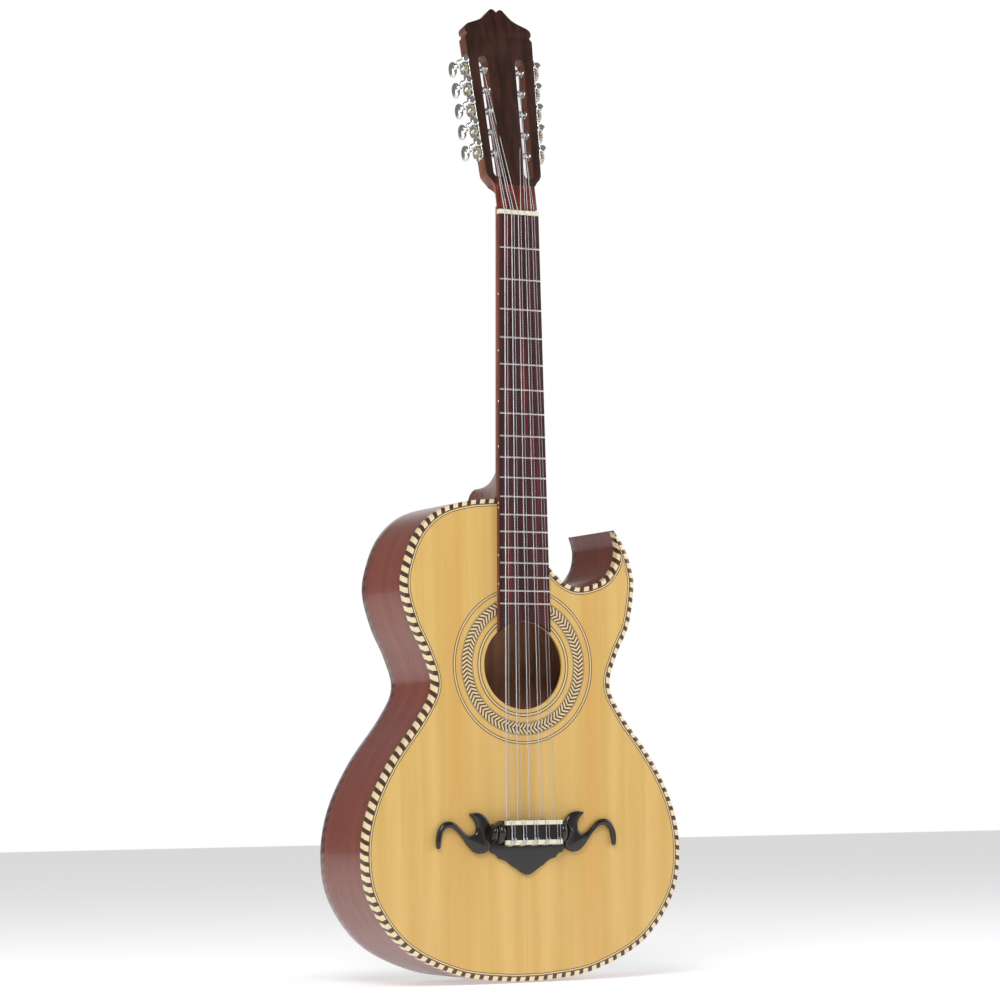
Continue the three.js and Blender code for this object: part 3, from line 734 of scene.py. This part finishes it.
def make_body():
    top = tapered(flat("soundboard_spruce", [plate_loop(BIND_WIDE), circle(HOLE_R)], TOP_Y, TOP_Y + PLATE))
    dress(top, SPRUCE, "spruce", "soundboard")
    back = tapered(flat("back_plate", [plate_loop(BIND_WIDE)], BACK_Y - PLATE, BACK_Y))
    dress(back, MAHOGANY_BACK, "mahogany", "back")
    paths = {"long": LONG_EDGE, "cutaway": CUTAWAY}
    for name, path in paths.items():
        first = name == "long"
        front = band(f"rope_top_{name}", path, edge_section(TOP_Y, TOP_Y + BIND_DEEP))
        rear = band(f"rope_back_{name}", path, edge_section(BACK_Y, BACK_Y - BIND_DEEP))
        dress(front, ROPE, "mosaic", *(["binding_top"] if first else []))
        dress(rear, BACK_ROPE, "mosaic", *(["binding_back"] if first else []))
        low, high = BIND_WIDE, BIND_WIDE + PURFLING
        lines = fine_lines(f"purfling_{name}", lambda p: p.place(uv=True)[1], PURFLING, (0.14, 0.86))
        for face, tag in ((TOP_Y, "top"), (BACK_Y, "back")):
            out = -0.05 if tag == "top" else 0.05
            section = [(low, face + out), (high, face + out), (high, face - out * 6), (low, face - out * 6)]
            dress(band(f"purfling_{tag}_{name}", path, section), lines, "mosaic")
    sides = {"side_bass": BASS + [(-12, 0), (-6.2, 0)], "side_treble": [(6.2, 0), (12, 0)] + TREBLE,
             "side_cutaway": CUTAWAY, "tail_graft": [(-6, 0), (0, 0), (6, 0)]}
    for node, path in sides.items():
        front, rear = TOP_Y + BIND_DEEP, BACK_Y - BIND_DEEP
        piece = band(f"{node}_wood", path, [(0, front), (0, rear), (PLATE, rear), (PLATE, front)])
        dress(piece, MAHOGANY_SIDE, "mahogany", node)
    block = box("neck_block_wood", -28.2, 28.8, TOP_Y + PLATE, BACK_Y - PLATE, NECK_BLOCK_Z, BODY_END, 0.8)
    dress(tapered(block), NECK_WOOD, "neck_wood", "neck_block")
    fill = tapered(box("block_back_neck", -28.2, 28.6, BACK_Y - PLATE, BACK_Y, BODY_END - 8, BODY_END, 0.2))
    dress(fill, MAHOGANY_BACK, "mahogany")


def make_lining(node, y0, y1):
    """A band inside the rim with saw kerfs, as a row of teeth on a thin spine."""
    spine = band(f"{node}_spine", LONG_EDGE, [(5.4, y0), (6.4, y0), (6.4, y1), (5.4, y1)])
    teeth = []
    count = len(LONG_EDGE)
    for i in range(4, count - 22, 3):
        part = LONG_EDGE[i:i + 3]
        tooth = band(f"tooth_{i}", part, [(6.4, y0), (11.5, y0), (6.6, y1)] if y0 < 0 else
                     [(6.4, y1), (6.6, y0), (11.5, y1)])
        move(tooth, lambda p, c=Vector((part[1][0], (y0 + y1) / 2, part[1][1])): c + (p - c) * 0.9)
        teeth.append(tooth)
    dress(join(f"{node}_kerfed", [spine, *teeth]), CEDAR, "inner_wood", node)


def make_inside():
    for node in ("tail_block", "brace_top_upper", "brace_top_lower", "brace_fan_bass", "brace_fan_treble",
                 "brace_back_lower", "brace_back_middle", "brace_back_upper"):
        rounded = 1.4 if node != "tail_block" else 0.8
        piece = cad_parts[node]
        piece.data.materials.clear()
        piece.data.materials.append(CEDAR)
        bevel = piece.modifiers.new("rounded", "BEVEL")
        bevel.width = rounded * MM
        bevel.segments = 2
        bevel.limit_method = "ANGLE"
    skin = band("inside_face", LONG_EDGE, [(3.05, TOP_Y + PLATE + 0.2), (3.3, TOP_Y + PLATE + 0.2),
                                           (3.3, BACK_Y - PLATE - 0.2), (3.05, BACK_Y - PLATE - 0.2)])
    dress(skin, INSIDE, "inner_wood")
    skin_y = BACK_Y - PLATE
    floor_face = tapered(flat("inside_back_face", [plate_loop(8.5)], skin_y - 0.4, skin_y - 0.05))
    dress(floor_face, INSIDE, "inner_wood")


def make_rosette():
    out = 0.05
    rings = {"rosette_inner_ring": INNER_RING, "rosette_herringbone": BAND, "rosette_outer_ring": OUTER_RING}
    for name, (low, high) in rings.items():
        piece = flat(name, [circle(high, count=220), circle(low, count=220)], TOP_Y - out, TOP_Y + 0.6)
        finish = herringbone() if name == "rosette_herringbone" else ring_lines(name, low, high)
        dress(piece, finish, "mosaic", *(["rosette"] if name == "rosette_herringbone" else []))


# ---------- neck ----------
def d_ring(half, depth, z, count=40):
    """A D-shaped section: flat to the fingerboard and round behind."""
    ring = [(half * cos(pi * i / count), TOP_Y + depth * sin(pi * i / count) ** 0.92, z)
            for i in range(count + 1)]
    return ring + [(half * (2 * i / 8 - 1), TOP_Y, z) for i in range(1, 8)]


def make_neck():
    start = BODY_END + 0.3
    rings = []
    for i in range(121):
        z = start + (SHAFT_END - start) * i / 120
        share = (z - start) / (SHAFT_END - start)
        depth = 19 - 3.5 * share
        rings.append(d_ring(half_board(min(z, NUT_Z)), depth, z))
    verts, faces = grid(rings)
    shaft = mesh("neck_shaft", verts, faces)
    heel_rings = []
    front = TOP_Y + 4
    for i in range(61):
        share = i / 60
        swing = sin(share * pi / 2)
        half = (half_board(start) - 0.5) * (1 - swing) + HEEL_HALF * swing
        tall = HEEL_TALL + (CAP_TALL - HEEL_TALL) * (1 - (1 - share) ** 2.6)
        y = front + share * (HEEL_BACK - front)
        ring = [(x, y, z) for x, z in arc(0, start, half, tall, 0, pi, 32)]
        ring += [(half * (2 * k / 6 - 1), y, start) for k in range(1, 6)]
        heel_rings.append(ring)
    verts, faces = grid(heel_rings)
    heel = mesh("neck_heel", verts, faces)
    neck = join("neck_wood", [shaft, heel])
    remesh = neck.modifiers.new("one_skin", "REMESH")
    remesh.mode = "VOXEL"
    remesh.voxel_size = 1.1 * MM
    ease = neck.modifiers.new("carved", "SMOOTH")
    ease.factor = 0.5
    ease.iterations = 6
    data = baked(neck)
    neck.modifiers.clear()
    neck.data = data
    data.shade_smooth()
    data.set_sharp_from_angle(angle=radians(50))
    dress(neck, NECK_WOOD, "neck_wood", "neck")
    cap_ring = arc(0, start, HEEL_HALF, CAP_TALL, 0, pi, 32)
    cap = flat("heel_cap_black", [cap_ring], HEEL_BACK + 0.1, HEEL_BACK + HEEL_CAP, 0.5)
    dress(cap, EBONY, "ebony", "heel_cap")


def make_board():
    end_r = HOLE_R + 0.1
    corner = acos(half_board(369) / end_r)
    loop = arc(0, HOLE_Z, end_r, end_r, pi - corner, corner, 40)
    loop += [(HALF_AT_NUT, NUT_Z), (-HALF_AT_NUT, NUT_Z)]
    board = flat("fingerboard_wood", [loop], BOARD_FACE, TOP_Y, 0.35)
    dress(board, BOARD_WOOD, "rosewood", "fingerboard")
    for name, side in SIDES.items():
        edge = [(side * (half_board(370) + 0.02), 371), (side * (HALF_AT_NUT + 0.02), NUT_Z - 0.4),
                (side * (HALF_AT_NUT - 0.4), NUT_Z - 0.4), (side * (half_board(370) - 0.4), 371)]
        strip = flat(f"board_edge_{name}", [edge], BOARD_FACE + 0.9, TOP_Y - 0.1)
        dress(strip, BOARD_EDGE, "rosewood")
    for n in range(1, FRETS + 1):
        z, half = fret_z(n), half_board(fret_z(n)) - 0.3
        rings = []
        for i in range(9):
            x = half * (2 * i / 8 - 1)
            drop = 0.5 if i in (0, 8) else 0.0
            crown = [(x, BOARD_FACE - (1.0 - drop) * sin(pi * k / 8), z + 1.0 * cos(pi * k / 8))
                     for k in range(9)]
            rings.append(crown + [(x, BOARD_FACE + 0.5, z - 0.4), (x, BOARD_FACE + 0.5, z + 0.4)])
        verts, faces = grid(rings)
        dress(mesh(f"fret_{n}", verts, faces, smooth=60), FRET_METAL, "string_steel")
    for n in (3, 5, 7, 9, 12, 15, 17):
        z = (fret_z(n) + fret_z(n - 1)) / 2
        x = -half_board(z) - 0.05
        spots = (-2.5, 2.5) if n == 12 else (0,)
        for k, shift in enumerate(spots):
            profile = [(1.2, 0.0), (1.2, 0.7), (0.8, 0.78)]
            dot = turned(f"side_dot_{n}_{k}", profile,
                         lambda a, b, t, x=x, z=z + shift: (x + 0.7 - t, TOP_Y - 3.4 + a, z + b), 16)
            dress(dot, BONE, "bone")


def make_nut():
    """A bone nut with a rounded top and a groove for each string."""
    xs = sorted({-HALF_AT_NUT, HALF_AT_NUT, *[x + d for x in NUT_X for d in (-0.9, -0.45, 0, 0.45, 0.9)]})
    rings = []
    for x in xs:
        near = min(abs(x - s) for s in NUT_X)
        top = NUT_LOW.y + (0.85 if near < 0.3 else 0.55 if near < 0.6 else 0.0)
        z0, z1 = NUT_Z + 0.02, NUT_HIGH.z
        rings.append([(x, TOP_Y, z0), (x, top + 0.6, z0), (x, top + 0.05, z0 + 0.7), (x, top, z0 + 2),
                      (x, top + 0.35, z1 - 1.2), (x, top + 1.4, z1), (x, TOP_Y, z1)])
    verts, faces = grid(rings)
    dress(mesh("nut_bone", verts, faces), BONE, "bone", "nut")


# ---------- headstock ----------
HEAD = Matrix.Translation(HEAD_FACE) @ Matrix.Rotation(-HEAD_TILT, 4, "X")


def on_head(obj, matrix=HEAD):
    return move(obj, lambda p: matrix @ p)


def rail_half(s):
    return RAIL_HALF + RAIL_SLOPE * (s - RAIL_S)


def head_loop(start):
    edge = [(23.9, 0), (24.4, 24), (24.9, 29), (27.5, 32.6), (31, 36.4), (33, 40), (rail_half(45), 45)]
    crest = [(rail_half(199.5), 199.5), (39.6, 201.2), (38.3, 202.6), (38.4, 204), (39.8, 205.3),
             (40.6, 207.6), (40.5, 210), (39.3, 212.6), (36.6, 214.7)]
    sweep = spline([crest[-1], (31.5, 216.8), (26.5, 218.7), (21.5, 221), (17, 224), (13, 228),
                    (9.4, 231.8)], 1.2)[1:]
    peak = arc(5.3, 230.2, 4.3, 4.2, 0.55, 2.55, 10)
    right = [p for p in edge if p[1] >= start] + crest + sweep + peak[:-1] + [(0, 230.9)]
    if start > 0:
        right = [(24.6, start)] + right
    return right + [(-x, s) for x, s in reversed(right[:-1])]


def slot_loop(side):
    (u0, s0), (u1, s1) = SLOT_LOW, SLOT_HIGH
    turn = atan2(s1 - s0, side * (u1 - u0))
    quarter = pi / 2
    low = arc(side * u0, s0, SLOT_R, SLOT_R, turn + quarter, turn + 3 * quarter, 16)
    return low + arc(side * u1, s1, SLOT_R, SLOT_R, turn - quarter, turn + quarter, 16)


def rounded_back():
    """Everything behind the face that the neck's round back leaves of the headstock's lower end."""
    rings = []
    for i in range(40):
        at_s = -3 + (BLEND_TO + 3) * i / 39
        part = max(0.0, (at_s - BLEND_FROM) / (BLEND_TO - BLEND_FROM))
        grow = 1 + 0.9 * part ** 1.5
        ring = [(x, y, at_s) for x, y in arc(0, 0, BLEND_HALF * grow, HEAD_THICK * grow, 0, pi, 40)]
        ring[0] = (ring[0][0], -6, at_s)
        ring[-1] = (ring[-1][0], -6, at_s)
        rings.append(ring)
    far = arc(0, -6, 90, 90, 0, pi, 40)
    rings.append([(x, y, BLEND_TO + 0.5) for x, y in far])
    rings.append([(x, y, 300) for x, y in far])
    verts, faces = grid(rings)
    return mesh("rounded_back", verts, faces)


def intersect(obj, tool):
    """The obj inside the tool, with the tool thrown away."""
    both = obj.modifiers.new("inside", "BOOLEAN")
    both.operation = "INTERSECT"
    both.object = tool
    both.solver = "EXACT"
    data = baked(obj)
    obj.modifiers.clear()
    obj.data = data
    bpy.data.objects.remove(tool)
    return tidy(obj, 40)


def make_head():
    slots = [slot_loop(-1), slot_loop(1)]
    slab = flat("headstock_wood", [head_loop(1.5), *slots], VENEER + 0.02, HEAD_THICK, 0.7)
    dress(on_head(intersect(slab, rounded_back())), NECK_WOOD, "neck_wood")
    face = on_head(flat("headstock_face", [head_loop(VENEER_START), *slots], 0, VENEER, 0.25))
    dress(face, VENEER_WOOD, "rosewood", "headstock_veneer")
    red = on_head(box("neck_face_red", -23.8, 23.8, 0.1, VENEER + 0.8, 1.0, VENEER_START - 0.05, 0.3))
    dress(red, RED_WOOD, "neck_wood")


# ---------- bridge ----------
def chain(start, curves, count=10):
    """Bezier curves one after another. Each is its two handles and its end."""
    line = [start]
    for handles in curves:
        corners = (line[-1], *handles)
        for i in range(1, count + 1):
            t = i / count
            u = 1 - t
            line.append(tuple(a * u ** 3 + 3 * b * t * u ** 2 + 3 * c * t * t * u + d * t ** 3
                              for a, b, c, d in zip(*corners)))
    return line


def apron_half():
    """The scalloped apron under the tie block, from its tip outwards."""
    line = chain((0, 111.5), (
        ((4, 111.5), (7, 114), (12.7, 117.9)),
        ((17, 120.5), (19, 121), (22.6, 124.6)),
        ((26.5, 127.6), (29.5, 128), (34.5, 129.4)),
        ((36, 132.5), (37.5, 134), (41.5, 134.6)),
        ((43.5, 136.2), (44.6, 138), (45, 140)),))
    return line + [(45, 166)]


def scroll(side):
    """One horn of the moustache: a lobe, a long hooked tip and a short horn."""
    line = chain((45, 140), (
        ((49, 134.4), (57, 133), (63, 136.4)),
        ((72, 142), (77, 155), (86, 160.6)),
        ((91, 164.5), (99.5, 163), (101, 155)),
        ((102, 150), (102.6, 146), (103.4, 141.6)),
        ((104.5, 140), (107, 140.4), (107.4, 142.4)),
        ((109, 151), (107, 161), (101, 166.6)),
        ((96, 171), (88, 170), (83, 165.6)),
        ((76, 159), (72, 153.8), (66.6, 154)),
        ((60, 155.4), (59.4, 164), (62.6, 169)),
        ((64, 171.6), (66.4, 174), (69, 176.2)),
        ((62, 179.6), (53, 178), (48.6, 172.6)),
        ((46.6, 170), (45.4, 168), (45, 166)),))
    return [(side * x, z) for x, z in line[:-1]]


def make_bridge():
    """A glossy barrel between two horns, on an apron. Bone edges the barrel's top."""
    pieces = []
    for side in (-1, 1):
        pieces.append(flat("horn", [scroll(side)], TOP_Y - 6.4, TOP_Y, 2.9, rounds=6, smooth=70))
        profile = [(9.6, 33.2), (11.0, 34.0), (11.7, 35.6), (11.8, 37.4), (11.2, 39.2), (9.6, 40.6),
                   (7.6, 41.3), (7.0, 41.9), (8.2, 42.3), (9.4, 43.0), (9.6, 43.9), (9.0, 44.8),
                   (7.4, 45.3), (7.0, 45.8), (7.6, 46.4), (7.4, 47.6), (5.0, 48.6)]
        pieces.append(turned("end", profile, lambda a, b, t, side=side: (
            side * t, min(BARREL_Y + a, TOP_Y), BARREL_Z + b), 48))
    half = apron_half()
    loop = half + [(-x, z) for x, z in reversed(half[1:])]
    pieces.append(flat("apron", [loop], TOP_Y - 4.6, TOP_Y, 1.8, rounds=5, smooth=70))
    low, high = BLOCK_LOW + 0.3, BLOCK_HIGH - 0.1
    section = [(low, TOP_Y), (low, BARREL_TOP + 6), (REAR_BONE_HIGH + 0.1, BARREL_TOP + 5.4),
               (REAR_BONE_HIGH + 0.1, BARREL_TOP + 0.4), (REAR_BONE_HIGH + 0.6, BARREL_TOP),
               (FRONT_BONE_LOW - 0.6, BARREL_TOP), (FRONT_BONE_LOW - 0.1, BARREL_TOP + 0.4),
               (FRONT_BONE_LOW - 0.1, BARREL_TOP + 5.4), (high, BARREL_TOP + 6), (high, TOP_Y)]
    rings = [[(x, y, z) for z, y in section] for x in (-BLOCK_HALF, BLOCK_HALF)]
    verts, faces = grid(rings)
    pieces.append(mesh("block", verts, faces))
    for x in BRIDGE_X:
        collar = [(0.9, 0.0), (1.25, 0.0), (1.25, 0.12), (0.9, 0.14)]
        pieces.append(turned("collar", collar,
                             lambda a, b, t, x=x: (x + a, STRING_HOLE_Y + b, BLOCK_HIGH - 0.05 + t), 16))
    dress(join("bridge_moustache", pieces), EBONY, "ebony", "bridge")
    for name, low, high, node in (("saddle_bone", FRONT_BONE_LOW, BLOCK_HIGH, "saddle"),
                                  ("tie_bone_strip", BLOCK_LOW, REAR_BONE_HIGH, "tie_bone")):
        strip = box(name, -BLOCK_HALF, BLOCK_HALF, BONE_TOP, BONE_TOP + 6, low, high, 0.6)
        dress(strip, BONE, "bone", node)


# ---------- strings and tuners ----------
def string_x(index, course_pitch, pair):
    course = index // 2 - 2
    return course * course_pitch + (pair if index % 2 else -pair)


NUT_X = [string_x(i, *NUT_COURSES) for i in range(10)]
BRIDGE_X = [string_x(i, *BRIDGE_COURSES) for i in range(10)]


def rail_matrix(side):
    return HEAD @ Matrix.Translation((side * RAIL_HALF, 0, RAIL_S)) @ Matrix.Rotation(
        side * atan(RAIL_SLOPE), 4, "Y")


def out_of_rail(rail, side, along, z, squash=1.0):
    """Place for turned() with its axis square to the headstock's edge."""
    return lambda a, b, out: rail @ Vector((side * out, along + a * squash, z + b))


def worm_line(rail, side, z):
    """Place for turned() with its axis on a worm's."""
    return lambda a, b, t: rail @ Vector((side * WORM_OUT + a, t, z + b))


def slot_walls(s):
    share = (s - SLOT_LOW[1]) / (SLOT_HIGH[1] - SLOT_LOW[1])
    centre = SLOT_LOW[0] + (SLOT_HIGH[0] - SLOT_LOW[0]) * share
    return centre - SLOT_R - rail_half(s), centre + SLOT_R - rail_half(s)


def make_strings():
    for i in range(10):
        name = "bass" if i < 5 else "treble"
        side = SIDES[name]
        order = i if i < 5 else 9 - i
        s = TUNER_S[order]
        inner, outer = slot_walls(s)
        r = STRING_R[i]
        rail = rail_matrix(side)
        coil_r = ROLLER_CORE + r
        mid = (inner + outer) / 2
        top = rail @ Vector((side * mid, ROLLER_T - coil_r, s - RAIL_S))
        nut_y = NUT_LOW.y + 0.75 - r
        route = [Vector((BRIDGE_X[i], STRING_HOLE_Y, BLOCK_HIGH - 1.5)), Vector((NUT_X[i], nut_y, NUT_Z)),
                 Vector((NUT_X[i], nut_y + 0.1, NUT_Z + 2.4)), top]
        material = WOUND if i % 2 == 0 and i < 8 else PLAIN
        full = []
        for a, b in zip(route, route[1:]):
            steps = 24 if (b - a).length > 300 else 4
            full += [a.lerp(b, k / steps) for k in range(steps)]
        piece = wire(f"string_wire_{i + 1}", full + [top], r)
        dress(piece, material, "string_steel", f"string_{i + 1}")
        make_tie(i, r, material)
        coil = []
        turns = 3.5
        for k in range(int(turns * 20) + 1):
            angle = -TAU * k / 20 + pi
            shift = side * (mid + (k / 20 - 0.2) * 2.2 * r * (1 if order % 2 else -1))
            local = Vector((shift, ROLLER_T + coil_r * cos(angle), s - RAIL_S + coil_r * sin(angle)))
            coil.append(rail @ local)
        dress(wire(f"winding_{name}_{order + 1}", coil, r), material, "string_steel",
              body=f"roller_{name}_{order + 1}")


def make_tie(i, r, material):
    """The string's end: out behind the barrel, up over both bones, round itself and down."""
    x = BRIDGE_X[i]
    beside = x + 1.3
    top = BONE_TOP - r - 0.05
    front, rear = BLOCK_HIGH + r + 0.1, BLOCK_LOW - r - 0.1
    hole = STRING_HOLE_Y
    route = [(x, hole, rear + 1.5), (x, hole - 0.4, rear - 0.6), (x + 0.5, hole - 3.5, rear - 0.5),
             (x + 1.0, BONE_TOP + 2.0, rear - 0.2), (beside, top + 0.2, BLOCK_LOW + 0.5),
             (beside, top, REAR_BONE_HIGH), (beside + 0.25, top + 0.15, BARREL_Z + 1),
             (beside - 0.1, top, FRONT_BONE_LOW), (beside - 0.7, top, BLOCK_HIGH - 1.0),
             (beside - 1.2, BONE_TOP + 1.2, front), (x, hole - 3, front),
             (x - 0.3, hole - 1.6, front + 0.2), (x + 0.2, hole - 1.2, front + r + 0.5)]
    dress(wire(f"string_tie_{i + 1}", smooth_route(route, 6), r), material, "string_steel")
    tail = [(beside - 2.4, BONE_TOP + 3.4, rear - 0.3), (beside - 1.8, BONE_TOP + 0.6, rear),
            (beside - 1.0, top - r, BLOCK_LOW + 1.2), (beside + 0.2, top - 2 * r, BLOCK_LOW + 3.4),
            (beside + 1.2, top, REAR_BONE_HIGH + 0.6), (beside + 1.5, BARREL_TOP - r, REAR_BONE_HIGH + 2.0)]
    dress(wire(f"string_tail_{i + 1}", smooth_route(tail, 5), r), material, "string_steel")


def smooth_route(route, steps):
    """Points on a smooth curve through a few."""
    dense = []
    last = len(route) - 1
    for k in range(last):
        a, b, c, d = (Vector(route[max(0, min(last, j))]) for j in (k - 1, k, k + 1, k + 2))
        for n in range(steps):
            dense.append(catmull(a, b, c, d, n / steps))
    return dense + [Vector(route[-1])]


def make_roller(name, side, index):
    s = TUNER_S[index]
    inner, outer = slot_walls(s)
    z = s - RAIL_S
    place = out_of_rail(rail_matrix(side), side, ROLLER_T, z)
    profile = [(1.2, inner - 2.8), (2.2, inner - 2.6), (2.2, inner + 0.6), (3.9, inner + 0.7),
               (4.1, inner + 1.0), (3.9, inner + 1.3), (ROLLER_CORE, inner + 1.5), (ROLLER_CORE, outer - 1.5),
               (3.9, outer - 1.3), (4.1, outer - 1.0), (3.9, outer - 0.7), (3.0, outer - 0.6), (3.0, 2.6),
               (1.0, 2.7)]
    shaft = turned("shaft", profile, place, 28)
    shaft.data.materials.append(BRIGHT)

    def tooth(r, along, angle):
        if r < 5:
            return r
        wave = cos(TEETH * angle)
        return GEAR_PITCH_R - 0.05 - 0.75 * max(-1, min(1, wave * 1.6))

    gear_profile = [(2.0, 2.5), (6.1, 2.7), (6.1, 6.3), (4.2, 6.5), (4.0, 6.9), (1.0, 6.9)]
    gear = turned("gear", gear_profile, place, TEETH * 12, tooth)
    gear.data.materials.append(BRASS)
    screw_profile = [(2.3, 6.8), (2.5, 7.1), (2.1, 7.7), (1.2, 8.0), (0.3, 8.05)]
    screw = turned("screw", screw_profile, place, 24)
    screw.data.materials.append(BRIGHT)
    piece = join(f"roller_gear_{name}_{index + 1}", [shaft, gear, screw])
    node = f"roller_{name}_{index + 1}"
    settle(piece, "chrome", node, body=node)


def make_key(name, side, index):
    s = TUNER_S[index]
    z = s - RAIL_S + WORM_UP
    place = worm_line(rail_matrix(side), side, z)
    pitch = TAU * GEAR_PITCH_R / TEETH

    def thread(r, along, angle):
        fade = min(1.0, max(0.0, (along - 3.2) / 0.9), max(0.0, (10.9 - along) / 0.9))
        wave = cos(TAU * (along - ROLLER_T) / pitch - (angle - pi))
        return r + fade * 0.62 * max(-0.35, min(1, wave * 1.5))

    steps = [3.0 + 8.1 * k / 54 for k in range(55)]
    worm = turned("worm", [(2.35, t) for t in steps], place, 28, thread)
    profile = [(1.0, 0.3), (1.7, 0.4), (1.7, 20.2), (2.6, 20.6), (3.1, 21.6), (3.1, 22.6), (2.6, 23.6),
               (1.7, 24.0), (1.7, 26.4), (1.0, 26.5)]
    shaft = turned("shaft", profile, place, 24)
    rings = []
    for i in range(1, 32):
        lat = pi * i / 32
        ring = []
        for j in range(48):
            lon = TAU * j / 48
            c, d = cos(lon), sin(lon)
            swell = sin(lat) ** 0.8
            x = 3.45 * swell * copysign(abs(c) ** 0.75, c)
            up = 8.8 * swell * copysign(abs(d) ** 0.95, d)
            ring.append(place(x, up, BUTTON_T - 6.9 * cos(lat)))
        rings.append(ring)
    verts, faces = grid(rings)
    button = mesh("button", verts, faces, smooth=60)
    for part, finish in ((worm, BRIGHT), (shaft, BRIGHT), (button, CHROME)):
        part.data.materials.append(finish)
    piece = join(f"key_worm_{name}_{index + 1}", [worm, shaft, button])
    node = f"key_{name}_{index + 1}"
    settle(piece, "chrome", node, body=node)


def ear(rail, side, t0, t1, z):
    """A turned bearing post round the worm's shaft, standing on a foot."""
    middle = (t0 + t1) / 2
    thick = (t1 - t0) / 2
    profile = []
    for k in range(13):
        angle = pi * k / 12
        profile.append((2.4 + 1.9 * sin(angle) ** 0.6, middle - thick * cos(angle)))
    ball = turned("ear", profile, worm_line(rail, side, z), 28)
    foot_profile = [(3.0, 1.0), (3.0, 1.7), (2.0, 2.2), (1.9, 3.4)]
    return [ball, turned("foot", foot_profile, out_of_rail(rail, side, middle, z, 0.6), 20)]


def make_plate(name, side):
    rail = rail_matrix(side)
    near, far = 0.3, 1.5
    loop = []
    for t, z, a0 in ((12.6, 5.5, -90), (12.6, 120.5, 0), (3.9, 120.5, 90), (3.9, 5.5, 180)):
        loop += arc(t, z, 3.4, 3.4, radians(a0), radians(a0 + 90), 6)
    sheet = flat("sheet", [loop], near, far, 0.3)
    move(sheet, lambda p: rail @ Vector((side * p.y, p.x, p.z)))
    parts = [sheet]
    for s in TUNER_S:
        z = s - RAIL_S
        parts += ear(rail, side, -1.2, 2.7, z + WORM_UP)
        parts += ear(rail, side, 11.3, 15.2, z + WORM_UP)
    for z in (4.2, 121.4):
        screw_profile = [(2.3, 1.4), (2.3, 1.9), (1.7, 2.5), (0.4, 2.7)]
        parts.append(turned("screw", screw_profile, out_of_rail(rail, side, 8.2, z), 20))
    piece = tidy(join(f"tuner_plate_{name}_metal", parts), 40)
    dress(piece, CHROME, "chrome", f"tuner_plate_{name}")


# ---------- stage ----------
def studio_walls(tree):
    """A dim even room with a wide sheet of white paper behind the instrument."""
    shade = tree.nodes["Background"]
    place = tree.nodes.new("ShaderNodeTexCoord")
    toward = tree.nodes.new("ShaderNodeVectorMath")
    toward.operation = "DOT_PRODUCT"
    tree.links.new(place.outputs["Generated"], toward.inputs[0])
    toward.inputs[1].default_value = PAPER_DIRECTION
    sheet = tree.nodes.new("ShaderNodeMapRange")
    sheet.interpolation_type = "SMOOTHSTEP"
    for socket, value in {"From Min": 0.8, "From Max": 0.95, "To Min": ROOM_LIGHT, "To Max": 1.0}.items():
        sheet.inputs[socket].default_value = value
    tree.links.new(toward.outputs["Value"], sheet.inputs["Value"])
    tree.links.new(sheet.outputs[0], shade.inputs["Strength"])
    shade.inputs["Color"].default_value = (1, 1, 1, 1)


def make_stage():
    floor = mesh("floor", [(-9000, -9000, -2), (9000, -9000, -2), (9000, 9000, -2), (-9000, 9000, -2)],
                 [(0, 1, 2, 3)])
    floor.data.materials.append(ground())
    world = bpy.data.worlds.new("soft_white")
    world.use_nodes = True
    studio_walls(world.node_tree)
    bpy.context.scene.world = world
    aim = Vector((0, 0, 500)) * MM
    for name, (place, size, power) in LIGHTS.items():
        data = bpy.data.lights.new(name, "AREA")
        data.size = size
        data.energy = power
        lamp = linked(name, data)
        lamp.location = Vector(place) * MM
        lamp.rotation_mode = "QUATERNION"
        lamp.rotation_quaternion = (aim - lamp.location).to_track_quat("-Z", "Y")
    bpy.context.scene.view_settings.view_transform = "Standard"


def make_camera():
    yaw, pitch, roll = (radians(a) for a in CAMERA_TURN)
    turn = Matrix.Rotation(yaw, 3, "Z") @ Matrix.Rotation(pitch, 3, "X") @ Matrix.Rotation(roll, 3, "Y")
    right, forward, up = (turn.col[i] for i in range(3))
    data = bpy.data.cameras.new("camera")
    data.sensor_width = FILM
    data.lens = LENS
    data.clip_end = 100
    camera = linked("camera", data)
    place = Matrix((right, up, -forward)).transposed().to_4x4()
    place.translation = CAMERA_PLACE * MM
    camera.matrix_world = place
    bpy.context.scene.camera = camera


make_camera()
make_stage()
make_body()
make_lining("lining_top", TOP_Y + PLATE + 0.3, TOP_Y + PLATE + 12)
make_lining("lining_back", BACK_Y - PLATE - 12, BACK_Y - PLATE - 0.3)
make_inside()
make_rosette()
make_neck()
make_board()
make_nut()
make_head()
make_bridge()
make_strings()
for side_name, side_sign in SIDES.items():
    make_plate(side_name, side_sign)
    for number in range(5):
        make_roller(side_name, side_sign, number)
        make_key(side_name, side_sign, number)
